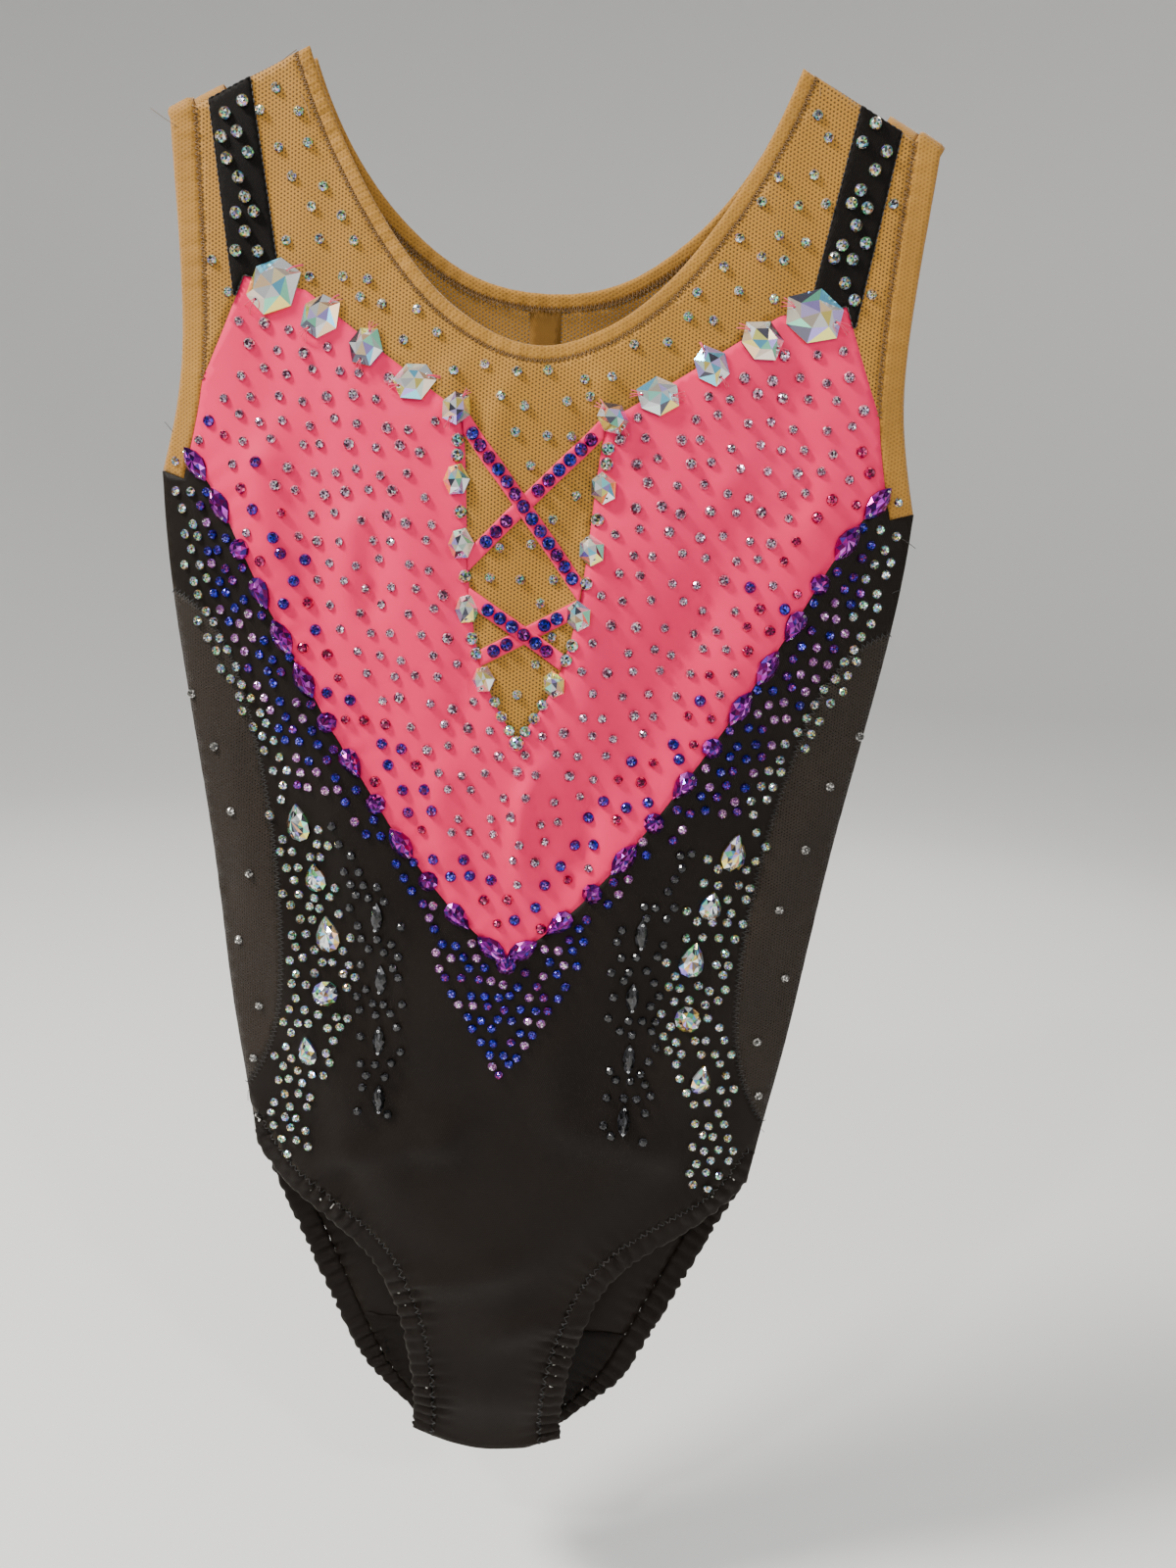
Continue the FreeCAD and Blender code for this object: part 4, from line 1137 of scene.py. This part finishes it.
class Seats:
    """Where stones' backs lie on the front of the cloth, and the three directions of each."""

    def __init__(self, centres, lifts):
        x, z = np.array(centres).T
        self.out = cloth.normal(-1, x, z, 2.5 * MM)
        self.place = cloth.plain(-1, x, z) + self.out * np.broadcast_to(lifts, x.shape)[:, None]
        across = np.array([1.0, 0, 0]) - self.out * self.out[:, :1]
        self.across = across / np.linalg.norm(across, axis=1)[:, None]

    def put(self, number, corners):
        out, across = self.out[number], self.across[number]
        turn = np.column_stack([across, np.cross(out, across), out])
        return np.asarray(corners) @ turn.T + self.place[number]


STONE_LIFT = 0.12 * MM
STRAP_CLOTH = 0.7 * MM


def middles(name):
    """Middle and radius of each stone of a node."""
    found = []
    for points in islands(name):
        flat = points[:, [0, 2]]
        middle = (flat.min(axis=0) + flat.max(axis=0)) / 2
        found.append((middle, np.linalg.norm(flat - middle, axis=1).max()))
    return [m for m, _ in found], [r for _, r in found]


def round_stones(name, palettes, finish, seed, lifts=0.0):
    """One piece of all the round stones of a node."""
    stones = Stones(seed)
    centres, radii = middles(name)
    seats = Seats(centres, STONE_LIFT + lifts)
    for number, radius in enumerate(radii):
        palette = PALETTES[stones.chance.choice(palettes)]
        corners, faces, tints = round_cut(stones, palette, radius)
        turn = stones.chance.uniform(0, math.pi)
        tilt = stones.chance.gauss(0, 0.05), stones.chance.gauss(0, 0.05)
        c, s = math.cos(turn), math.sin(turn)
        corners = [(x * c - y * s, x * s + y * c, h + x * tilt[0] + y * tilt[1]) for x, y, h in corners]
        stones.add(seats.put(number, corners), faces, tints)
    return stones.piece(f"{name}_cut", finish, (name,))


def sewing_hole(x, y, level, radius):
    """A hole with a raised lip round it; its inner wall and floor are painted dark as the shade inside the
    hole.
    """
    turns = 8
    rings = [(radius * 1.9, level), (radius * 1.35, level + 0.22 * MM), (radius, level + 0.1 * MM),
             (radius * 0.9, level - 0.1 * MM)]
    corners = [(x + px, y + py, h) for size, h in rings for px, py, _ in ring(turns, size, 0)]
    faces, tints = [], []
    for row in range(3):
        for k in range(turns):
            after = (k + 1) % turns
            low, high = row * turns, (row + 1) * turns
            faces.append((low + k, low + after, high + after, high + k))
            # The inner wall and the floor of the hole are painted dark as the shade inside it; the lip rows
            # are light grey.
            tints.append((0.75, 0.77, 0.8) if row < 2 else (0.15, 0.1, 0.12))
    faces.append(tuple(3 * turns + k for k in range(turns)))
    tints.append((0.03, 0.02, 0.03))
    return corners, faces, tints


def sewn_stones(name, palettes, finish, seed, table, hole):
    """One piece of all the shaped stones of a node, and what ties each one down: its seat, hole and size."""
    stones = Stones(seed)
    found = islands(name)
    shapes = [hull(points[:, [0, 2]]) for points in found]
    centres = [(shape.min(axis=0) + shape.max(axis=0)) / 2 for shape in shapes]
    seats = Seats(centres, STONE_LIFT)
    ties = []
    for number, (points, shape) in enumerate(zip(found, shapes)):
        local = shape - centres[number]
        gaps = np.linalg.norm(local - np.roll(local, 1, axis=0), axis=1)
        local = local[gaps > 0.35 * MM]
        rise = np.ptp((points - seats.place[number]) @ seats.out[number]) * 0.92
        cut = broad_cut if len(local) < 9 else shaped_cut
        corners, faces, tints = cut(stones, PALETTES[stones.chance.choice(palettes)], local, rise, table)
        stones.add(seats.put(number, corners), faces, tints)
        if hole:
            long_way = np.linalg.eigh(np.cov(local.T))[1][:, 1]
            reach = np.ptp(local @ long_way) / 2
            for end in (-1, 1):
                x, y = long_way * end * reach * 0.72
                corners, faces, tints = sewing_hole(x, y, rise * 0.66, hole)
                stones.add(seats.put(number, corners), faces, tints)
                ties.append((seats, number, np.array([x, y]), long_way * end, reach, rise))
    stones.piece(f"{name}_cut", finish, (name,))
    return ties


def tufts(ties, seed, radius=0.16 * MM):
    """Short threads from each sewing hole over the end of its stone."""
    chance = random.Random(seed)
    parts = []
    for seats, number, hole, way, reach, rise in ties:
        for _ in range(3):
            swing = chance.uniform(-0.5, 0.5)
            c, s = math.cos(swing), math.sin(swing)
            turned = np.array([way[0] * c - way[1] * s, way[0] * s + way[1] * c])
            path = []
            for step in range(6):
                share = step / 5
                out = hole + turned * share * (reach * 0.45 + 1.2 * MM)
                path.append((*out, rise * (0.72 + 0.5 * share - 1.05 * share**2.2)))
            parts.append(tube(seats.put(number, path), radius, 4))
    return joined(parts)


# ---------------------------------------------------------------- what to sew

# Cloth panels: piece, face of the body, finish, mesh step in millimetres.
PANELS = (
    ("front_yoke_mesh", -1, "skin_mesh", 3.0),
    ("pink_satin_panel", -1, "pink_satin", 2.6),
    ("side_mesh_left", -1, "black_sheer", 3.0),
    ("side_mesh_right", -1, "black_sheer", 3.0),
    ("front_body_black", -1, "black_knit", 2.8),
    ("back_yoke_mesh", 1, "skin_mesh", 3.0),
    ("back_body_black", 1, "black_knit", 3.0),
)

# Layers inside the garment: node, finish, the faces it lies on, and how far its outside and inside
# lie below the cloth's outside.
INNER = (
    ("neck_elastic", "elastic", (-1, 1), -0.1, -0.9),
    ("armhole_elastic_left", "elastic", (-1, 1), -0.1, -0.9),
    ("armhole_elastic_right", "elastic", (-1, 1), -0.1, -0.9),
    ("leg_elastic_left", "elastic", (-1, 1), -0.1, -0.9),
    ("leg_elastic_right", "elastic", (-1, 1), -0.1, -0.9),
    ("shoulder_tape_left", "seam_tape", (-1, 1), -0.85, -1.35),
    ("shoulder_tape_right", "seam_tape", (-1, 1), -0.85, -1.35),
    ("gusset_lining", "lining", (-1, 1), -0.85, -1.45),
    ("size_label_blank", "label", (1,), -0.85, -1.15),
)

# Small round stones: node, palettes, finish, height in millimetres above the cloth they lie on.
ROUND_STONES = (
    ("rose_stones", ["rose"], "rose_crystal", 0.0),
    ("light_rose_stones", ["light"], "rose_crystal", 0.0),
    ("fuchsia_stones", ["fuchsia"], "fuchsia_crystal", 0.0),
    ("cobalt_stones", ["cobalt", "cobalt", "mixed"], "cobalt_crystal", 0.0),
    ("yoke_clear_stones", ["clear"], "clear_crystal", 0.0),
    ("keyhole_round_stones", ["clear"], "clear_crystal", 0.0),
    ("strap_stones_left", ["clear"], "clear_crystal", 0.7),
    ("strap_stones_right", ["clear"], "clear_crystal", 0.7),
    ("flank_clear_stones_left", ["clear"], "clear_crystal", 0.0),
    ("flank_clear_stones_right", ["clear"], "clear_crystal", 0.0),
    ("jet_stones_left", ["jet"], "jet_crystal", 0.0),
    ("jet_stones_right", ["jet"], "jet_crystal", 0.0),
    ("mesh_diamonds_left", ["smoke"], "smoke_crystal", 0.0),
    ("mesh_diamonds_right", ["smoke"], "smoke_crystal", 0.0),
)

# Sewn stones: node, palettes, finish, table, radius of the sewing holes in millimetres.
SEWN_STONES = (
    ("cosmic_stones_left", ["bright"], "clear_crystal", 0.55, 0.6),
    ("cosmic_stones_right", ["bright"], "clear_crystal", 0.55, 0.6),
    ("keyhole_cosmic_stones", ["bright"], "clear_crystal", 0.55, 0.45),
    ("chain_navettes_left", ["purple"], "purple_crystal", 0.4, 0.35),
    ("chain_navettes_right", ["purple"], "purple_crystal", 0.4, 0.35),
    ("chain_drops_left", ["purple"], "purple_crystal", 0.4, 0.35),
    ("chain_drops_right", ["purple"], "purple_crystal", 0.4, 0.35),
    ("chain_rounds_left", ["purple"], "purple_crystal", 0.45, 0),
    ("chain_rounds_right", ["purple"], "purple_crystal", 0.45, 0),
    ("clear_drops_left", ["clear"], "clear_crystal", 0.42, 0.4),
    ("clear_drops_right", ["clear"], "clear_crystal", 0.42, 0.4),
    ("jet_navettes_left", ["jet"], "jet_crystal", 0.4, 0.35),
    ("jet_navettes_right", ["jet"], "jet_crystal", 0.4, 0.35),
)


def lit(name, kind, place, aim, power, across, colour):
    """A lamp that shines at a point and isn't seen itself."""
    data = bpy.data.lights.new(name, kind)
    data.energy, data.color = power, colour
    if kind == "AREA":
        data.shape, data.size = "DISK", across
    lamp = bpy.data.objects.new(name, data)
    bpy.context.scene.collection.objects.link(lamp)
    lamp.location = place
    lamp.rotation_euler = (Vector(aim) - Vector(place)).to_track_quat("-Z", "Y").to_euler()
    lamp.visible_camera = False
    return lamp


# ---------------------------------------------------------------- add-on


class LeotardSizes(bpy.types.PropertyGroup):
    """Sizes of the sewing."""

    cloth: bpy.props.FloatProperty(
        name="Cloth", description="Thickness of the cloth panels", default=0.0008, unit="LENGTH")
    thread: bpy.props.FloatProperty(
        name="Thread", description="Radius of the sewing thread", default=0.0002, unit="LENGTH")
    hem_gather: bpy.props.FloatProperty(
        name="Hem gathers", description="Pitch of the gathers along the leg hems", default=0.0065,
        unit="LENGTH")
    hem_height: bpy.props.FloatProperty(
        name="Hem gather height", description="Height of the gathers", default=0.0013, unit="LENGTH")
    looseness: bpy.props.FloatProperty(
        name="Looseness", description="How much wider the cloth is cut than it hangs", default=0.06)
    neck_rib: bpy.props.FloatProperty(
        name="Neck ribs", description="Pitch of the ribs across the neck binding", default=0.0026,
        unit="LENGTH")
    backdrop: bpy.props.FloatProperty(
        name="Backdrop radius", description="Radius of the pale floor", default=4.0, unit="LENGTH")


class LeotardColours(bpy.types.PropertyGroup):
    """Colours of the cloth."""

    skin: bpy.props.FloatVectorProperty(
        name="Skin mesh", description="Nude mesh of the yoke", default=(0.35, 0.165, 0.02), subtype="COLOR")
    pink: bpy.props.FloatVectorProperty(
        name="Pink satin", description="Satin of the middle panel", default=(0.88, 0.012, 0.11),
        subtype="COLOR")
    black: bpy.props.FloatVectorProperty(
        name="Black knit", description="Knit of the body", default=(0.0062, 0.004, 0.0028), subtype="COLOR")
    floor: bpy.props.FloatVectorProperty(
        name="Floor", description="Pale floor", default=(0.86, 0.86, 0.85), subtype="COLOR")


def hang():
    """Work out where the cloth hangs, and its small folds along the stitching."""
    global cloth
    sizes = bpy.context.scene.leotard_sizes
    cloth = Cloth()
    for side_line in (1, -1):
        corners, _ = node_corners("side_seam_left" if side_line > 0 else "side_seam_right")
        rows = np.arange(corners[:, 2].min(), corners[:, 2].max(), 6 * MM)
        edge = [max(corners[np.abs(corners[:, 2] - z) < 8 * MM][:, 0] * side_line) * side_line for z in rows]
        cloth.side_lines.append(np.column_stack([edge, rows]))
    let_hang(-1, sizes.looseness)
    let_hang(1, sizes.looseness)
    for number, name in enumerate(("leg_hem_left", "leg_hem_right")):
        for side in (-1, 1):
            body = "front_body_black" if side < 0 else "back_body_black"
            middle = shared_run(outline(name, side), outline(body, side))
            cloth.reliefs[side].append(
                puckers(middle, sizes.hem_gather, sizes.hem_height, 8 * MM, 5 + number, puffed=True))
    for number, name in enumerate(("armhole_binding_left", "armhole_binding_right", "neck_binding")):
        for side, other in ((-1, "front_yoke_mesh"), (1, "back_yoke_mesh")):
            seam = shared_run(outline(name, side), outline(other, side))
            cloth.reliefs[side].append(puckers(seam, 8.5 * MM, 0.25 * MM, 7 * MM, 15 + number))
    chain = shared_run(outline("pink_satin_panel", -1), outline("front_body_black", -1))
    cloth.reliefs[-1].append(puckers(chain, 9 * MM, 0.35 * MM, 12 * MM, 25))
    cloth.reliefs[-1].append(soft_folds)
    cloth.reliefs[-1].append(ripples(30 * MM, 0.35 * MM, 31, (1.0, 3.5)))
    cloth.reliefs[1].append(ripples(46 * MM, 0.5 * MM, 32, (1.0, 2.5)))


class LEOTARD_OT_hang(bpy.types.Operator):
    """Hang the cloth"""

    bl_idname = "leotard.hang"
    bl_label = "Hang the cloth"

    def execute(self, context):
        make_finishes(context.scene.leotard_colours)
        hang()
        return {"FINISHED"}


class LEOTARD_OT_panels(bpy.types.Operator):
    """Cut and place the seven cloth panels"""

    bl_idname = "leotard.panels"
    bl_label = "Cloth panels"

    def execute(self, context):
        thick = context.scene.leotard_sizes.cloth
        for name, side, finish, step in PANELS:
            loop = outline(name, side)
            made = panel(f"{name}_cloth", side, finish, step * MM, thick, (name,))
            width, length = np.ptp(loop, axis=0)
            area = flat_area(loop)
            # The area is the real one.
            length = min(length, 0.999 * area / (LEAST_FILL * width))
        return {"FINISHED"}


def band_piece(name, finish, step, ribs, scallops=None):
    """A binding or hem: a doubled layer with rounded edges, on the front and the back."""
    parts = []
    for side in (-1, 1):
        loop = outline(name, side)
        parts.append(padded_half(loop, side, step, BAND_PROUD, -BAND_INSIDE, 1.4 * MM,
                                 free_rims(loop, cloth.side_lines), ribs, scallops and scallops[side]))
    corners, faces, flat = joined(parts)
    return add_piece(f"{name}_band", corners, faces, finish, (name,), flat)


class LEOTARD_OT_bindings(bpy.types.Operator):
    """Bind the neck and the armholes"""

    bl_idname = "leotard.bindings"
    bl_label = "Neck and armhole bindings"

    def execute(self, context):
        sizes = context.scene.leotard_sizes
        band_piece("neck_binding", "skin_binding", 1.0 * MM, (sizes.neck_rib, 0.2 * MM))
        for name in ("armhole_binding_left", "armhole_binding_right"):
            band_piece(name, "skin_binding", 1.6 * MM, (4 * MM, 0.08 * MM))
        return {"FINISHED"}


class LEOTARD_OT_hems(bpy.types.Operator):
    """Turn up the gathered leg hems"""

    bl_idname = "leotard.hems"
    bl_label = "Leg hems"

    def execute(self, context):
        pitch = context.scene.leotard_sizes.hem_gather
        for name in ("leg_hem_left", "leg_hem_right"):
            seams = {side: shared_run(outline(name, side), outline(body, side))
                     for side, body in ((-1, "front_body_black"), (1, "back_body_black"))}
            scallops = {side: (seam, pitch, 1.6 * MM) for side, seam in seams.items()}
            band_piece(name, "black_hem", 1.3 * MM, (pitch, 0.2 * MM), scallops)
        return {"FINISHED"}


class LEOTARD_OT_straps(bpy.types.Operator):
    """Lay the shoulder straps and cross the lattice straps"""

    bl_idname = "leotard.straps"
    bl_label = "Straps"

    def execute(self, context):
        for name in ("strap_left", "strap_right"):
            parts = []
            for side in (-1, 1):
                loop = outline(name, side)
                parts.append(
                    padded_half(loop, side, 1.8 * MM, STRAP_CLOTH, 0.03 * MM, 0.9 * MM, free_rims(loop)))
            corners, faces, flat = joined(parts)
            add_piece(f"{name}_cloth", corners, faces, "black_strap", (name,), flat)
        for name in ("upper_over", "upper_under", "lower_over", "lower_under"):
            node = f"lattice_strap_{name}"
            low = STRAP_CLOTH if name.endswith("over") else 0.03 * MM
            loop = outline(node, -1)
            parts = padded_half(loop, -1, 1.0 * MM, low + STRAP_CLOTH, low, 0.9 * MM, free_rims(loop))
            add_piece(f"{node}_cloth", *parts[:2], "pink_satin", (node,), parts[2])
        return {"FINISHED"}


class LEOTARD_OT_inner(bpy.types.Operator):
    """Sew in the elastics, tapes, lining, label and seam allowances"""

    bl_idname = "leotard.inner"
    bl_label = "Inside pieces"

    def execute(self, context):
        for name, finish, sides, proud, inner in INNER:
            parts = []
            for side in sides:
                loop = outline(name, side)
                parts.append(
                    padded_half(loop, side, 2.4 * MM, proud * MM, inner * MM, 0.5 * MM, free_rims(loop)))
            corners, faces, flat = joined(parts)
            made = add_piece(f"{name}_cloth", corners, faces, finish, (name,), flat)
            if name == "gusset_lining":
                loops = [outline(name, side) for side in sides]
                area = sum(map(flat_area, loops))
        for name in ("side_seam_left", "side_seam_right"):
            loop = side_outline(name)
            places, triangles, rim = fill(loop, 3 * MM)
            layers = []
            for side in (-1, 1):
                middle = cloth.at(side, places[:, 0], places[:, 1])
                middle[:, 1] = side * 0.25 * MM
                layers.append(middle)
            count = len(places)
            faces = [tuple(t) for t in triangles] + [tuple(t + count)[::-1] for t in triangles]
            faces += [(k, k + count, (k + 1) % rim + count, (k + 1) % rim) for k in range(rim)]
            flat = np.vstack([places] * 2)
            add_piece(f"{name}_allowance", np.vstack(layers), faces, "black_hem", (name,), flat)
        return {"FINISHED"}


def side_outline(name):
    """Flat outline of a seam allowance, which stands on the middle plane."""
    corners, triangles = node_corners(name)
    a, b, c = (corners[triangles[:, k]] for k in range(3))
    skin = np.cross(b - a, c - a)[:, 1] < -1e-12
    edges = set()
    for one, two, three in triangles[skin]:
        for edge in ((one, two), (two, three), (three, one)):
            if edge[::-1] in edges:
                edges.remove(edge[::-1])
            else:
                edges.add(edge)
    after = dict(edges)
    start, here = after.popitem()
    loop = [start]
    while here in after:
        loop.append(here)
        here = after.pop(here)
    return corners[loop][:, [0, 2]]


class LEOTARD_OT_stitching(bpy.types.Operator):
    """Run the zigzag and overlock threads along the seams"""

    bl_idname = "leotard.stitching"
    bl_label = "Stitching"

    def execute(self, context):
        thread = context.scene.leotard_sizes.thread
        skin, black = [], []
        for side, yoke, body in ((-1, "front_yoke_mesh", "front_body_black"),
                                 (1, "back_yoke_mesh", "back_body_black")):
            yoke_loop, body_loop = outline(yoke, side), outline(body, side)
            for name in ("armhole_binding_left", "armhole_binding_right"):
                seam = shared_run(outline(name, side), yoke_loop)
                skin.append(zigzag(seam, side, 2.2 * MM, 2.2 * MM, 0.35 * MM, thread))
            seam = shared_run(outline("neck_binding", side), yoke_loop)
            skin.append(zigzag(seam, side, 1.8 * MM, 2.0 * MM, 0.35 * MM, thread * 1.2))
            skin.append(zigzag(seam, side, 1.8 * MM, 2.4 * MM, -BAND_INSIDE - 0.1 * MM, thread * 1.4))
            for name in ("leg_hem_left", "leg_hem_right"):
                seam = shared_run(outline(name, side), body_loop)
                black.append(zigzag(seam, side, 3.0 * MM, 2.4 * MM, 0.25 * MM, thread))
            for name in ("strap_left", "strap_right"):
                for rim in free_rims(outline(name, side)):
                    if np.linalg.norm(np.diff(rim, axis=0), axis=1).sum() > 40 * MM:
                        black.append(running(rim, side, 2.6 * MM, 0.3, 0.55 * MM, thread))
        for name in ("side_mesh_left", "side_mesh_right"):
            seam = shared_run(outline(name, -1), outline("front_body_black", -1))
            black.append(zigzag(seam, -1, 2.4 * MM, 3.0 * MM, 0.12 * MM, thread))
        chance = random.Random(77)
        for x, z in ((118, -441), (-118, -441), (-152, -150), (153, -176), (155, -197)):
            black.append(tube(loose_end(x * MM, z * MM, chance), thread * 0.7, 4))
        for x, z in ((-101, -4), (-96, -12), (-99, -20), (103, -9), (-148, -34)):
            skin.append(tube(loose_end(x * MM, z * MM, chance), thread * 0.6, 4))
        back_seam = shared_run(outline("back_body_black", 1), outline("back_yoke_mesh", 1))
        black.append(zigzag(back_seam, 1, 2.4 * MM, 3.0 * MM, 0.12 * MM, thread))
        for name, parts, finish in (("skin_stitching", skin, "skin_thread"),
                                    ("black_stitching", black, "black_thread")):
            add_piece(name, *joined(parts)[:2], finish)
        return {"FINISHED"}


class LEOTARD_OT_round_stones(bpy.types.Operator):
    """Glue on the small round stones"""

    bl_idname = "leotard.round_stones"
    bl_label = "Round stones"

    def execute(self, context):
        for number, (name, palettes, finish, lift) in enumerate(ROUND_STONES):
            round_stones(name, palettes, finish, 100 + number, lift * MM)
        centres, _ = middles("lattice_stones")
        x, z = np.array(centres).T
        over = inside(outline("lattice_strap_upper_over", -1), x, z)
        over = over | inside(outline("lattice_strap_lower_over", -1), x, z)
        lifts = np.where(over, 2, 1) * STRAP_CLOTH
        round_stones("lattice_stones", ["cobalt", "purple", "mixed", "cobalt"], "cobalt_crystal", 140, lifts)
        return {"FINISHED"}


class LEOTARD_OT_sewn_stones(bpy.types.Operator):
    """Sew on the large shaped stones"""

    bl_idname = "leotard.sewn_stones"
    bl_label = "Sewn stones"

    def execute(self, context):
        tied = []
        for number, (name, palettes, finish, table, hole) in enumerate(SEWN_STONES):
            holes = sewn_stones(name, palettes, finish, 200 + number, table, hole * MM)
            if name.startswith("cosmic"):
                tied += holes
        add_piece("cosmic_threads", *tufts(tied, 9)[:2], "pink_thread")
        return {"FINISHED"}


class LEOTARD_OT_stage(bpy.types.Operator):
    """Set up the pale floor, the soft lamps and the camera"""

    bl_idname = "leotard.stage"
    bl_label = "Stage"

    def execute(self, context):
        scene = context.scene
        radius = scene.leotard_sizes.backdrop
        low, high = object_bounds()
        floor_level = low[2] - 0.1
        rows = [(0.0, 0.0)] + [(radius * 0.55, 0.0)]
        for k in range(1, 13):
            turn = k / 12 * math.pi / 2
            rows.append((radius * (0.55 + 0.45 * math.sin(turn)), radius * 0.45 * (1 - math.cos(turn))))
        rows.append((radius, radius * 1.2))
        sides = 96
        corners = [(0, 0, floor_level)]
        for reach, level in rows[1:]:
            corners += [(x, y, floor_level + level) for x, y, _ in ring(sides, reach, 0)]
        faces = [(0, 1 + k, 1 + (k + 1) % sides) for k in range(sides)]
        for row in range(len(rows) - 2):
            first, second = 1 + row * sides, 1 + (row + 1) * sides
            faces += [(first + k, first + (k + 1) % sides, second + (k + 1) % sides, second + k)[::-1]
                      for k in range(sides)]
        mesh = bpy.data.meshes.new("floor")
        mesh.from_pydata(corners, [], faces)
        mesh.polygons.foreach_set("use_smooth", [True] * len(mesh.polygons))
        pale = Finish("pale_floor", Roughness=0.95)
        pale.shader.inputs["Base Color"].default_value = (*scene.leotard_colours.floor, 1.0)
        mesh.materials.append(pale.material)
        floor = bpy.data.objects.new("floor", mesh)
        scene.collection.objects.link(floor)
        middle = (0, 0, (low[2] + high[2]) / 2)
        lamps = [
            lit("key_lamp", "AREA", (-1.25, -0.55, 1.15), middle, 62, 0.4, (1.0, 0.97, 0.93)),
            lit("fill_lamp", "AREA", (1.4, -1.3, 0.2), middle, 6, 1.0, (0.93, 0.96, 1.0)),
            lit("back_lamp", "AREA", (0.6, 1.7, 1.1), middle, 26, 0.9, (1.0, 0.98, 0.95)),
            lit("sparkle_left", "AREA", (-0.5, -1.0, 0.75), (0, 0, -0.2), 5, 0.08, (1.0, 1.0, 1.0)),
            lit("sparkle_right", "AREA", (0.75, -1.1, 0.5), (0, 0, -0.3), 5, 0.08, (1.0, 0.98, 0.94)),
        ]
        world = bpy.data.worlds.new("pale_room")
        world.use_nodes = True
        world.node_tree.nodes["Background"].inputs["Color"].default_value = (0.93, 0.95, 1.0, 1.0)
        world.node_tree.nodes["Background"].inputs["Strength"].default_value = 0.24
        scene.world = world
        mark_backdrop(floor, *lamps)
        place_camera(scene)
        return {"FINISHED"}


CAMERA_PLACE = (0.045, -0.485, -0.202)
CAMERA_LENS = 26.0
CAMERA_DOWN, CAMERA_LEFT, CAMERA_ROLL = 10.0, 1.8, 3.5


def place_camera(scene):
    """A near, slightly turned view of the front from above."""
    down, left, roll = (math.radians(a) for a in (CAMERA_DOWN, CAMERA_LEFT, CAMERA_ROLL))
    ahead = Vector((-math.sin(left) * math.cos(down), math.cos(left) * math.cos(down), -math.sin(down)))
    right = ahead.cross(Vector((0, 0, 1))).normalized()
    above = right.cross(ahead)
    data = bpy.data.cameras.new("camera")
    data.lens, data.sensor_width, data.clip_start = CAMERA_LENS, 36.0, 0.02
    camera = bpy.data.objects.new("camera", data)
    scene.collection.objects.link(camera)
    across = right * math.cos(roll) + above * math.sin(roll)
    upright = above * math.cos(roll) - right * math.sin(roll)
    matrix = camera.matrix_world.copy()
    for column, axis in enumerate((across, upright, -ahead, Vector(CAMERA_PLACE))):
        for row in range(3):
            matrix[row][column] = axis[row]
    camera.matrix_world = matrix
    scene.camera = camera


OPERATORS = (
    LEOTARD_OT_hang,
    LEOTARD_OT_panels,
    LEOTARD_OT_bindings,
    LEOTARD_OT_hems,
    LEOTARD_OT_straps,
    LEOTARD_OT_inner,
    LEOTARD_OT_stitching,
    LEOTARD_OT_round_stones,
    LEOTARD_OT_sewn_stones,
    LEOTARD_OT_stage,
)


class LEOTARD_PT_panel(bpy.types.Panel):
    """Buttons for the pieces of the leotard"""

    bl_label = "Leotard"
    bl_idname = "LEOTARD_PT_panel"
    bl_space_type = "VIEW_3D"
    bl_region_type = "UI"
    bl_category = "Leotard"

    def draw(self, context):
        for group in (context.scene.leotard_sizes, context.scene.leotard_colours):
            for name in group.bl_rna.properties.keys():
                if name not in ("rna_type", "name"):
                    self.layout.prop(group, name)
        for operator in OPERATORS:
            self.layout.operator(operator.bl_idname)


CLASSES = (LeotardSizes, LeotardColours, *OPERATORS, LEOTARD_PT_panel)


def register():
    for item in CLASSES:
        bpy.utils.register_class(item)
    bpy.types.Scene.leotard_sizes = bpy.props.PointerProperty(type=LeotardSizes)
    bpy.types.Scene.leotard_colours = bpy.props.PointerProperty(type=LeotardColours)


def unregister():
    del bpy.types.Scene.leotard_colours
    del bpy.types.Scene.leotard_sizes
    for item in reversed(CLASSES):
        bpy.utils.unregister_class(item)


def main():
    register()
    for operator in OPERATORS:
        group, name = operator.bl_idname.split(".")
        getattr(getattr(bpy.ops, group), name)()


if __name__ == "__main__":
    main()
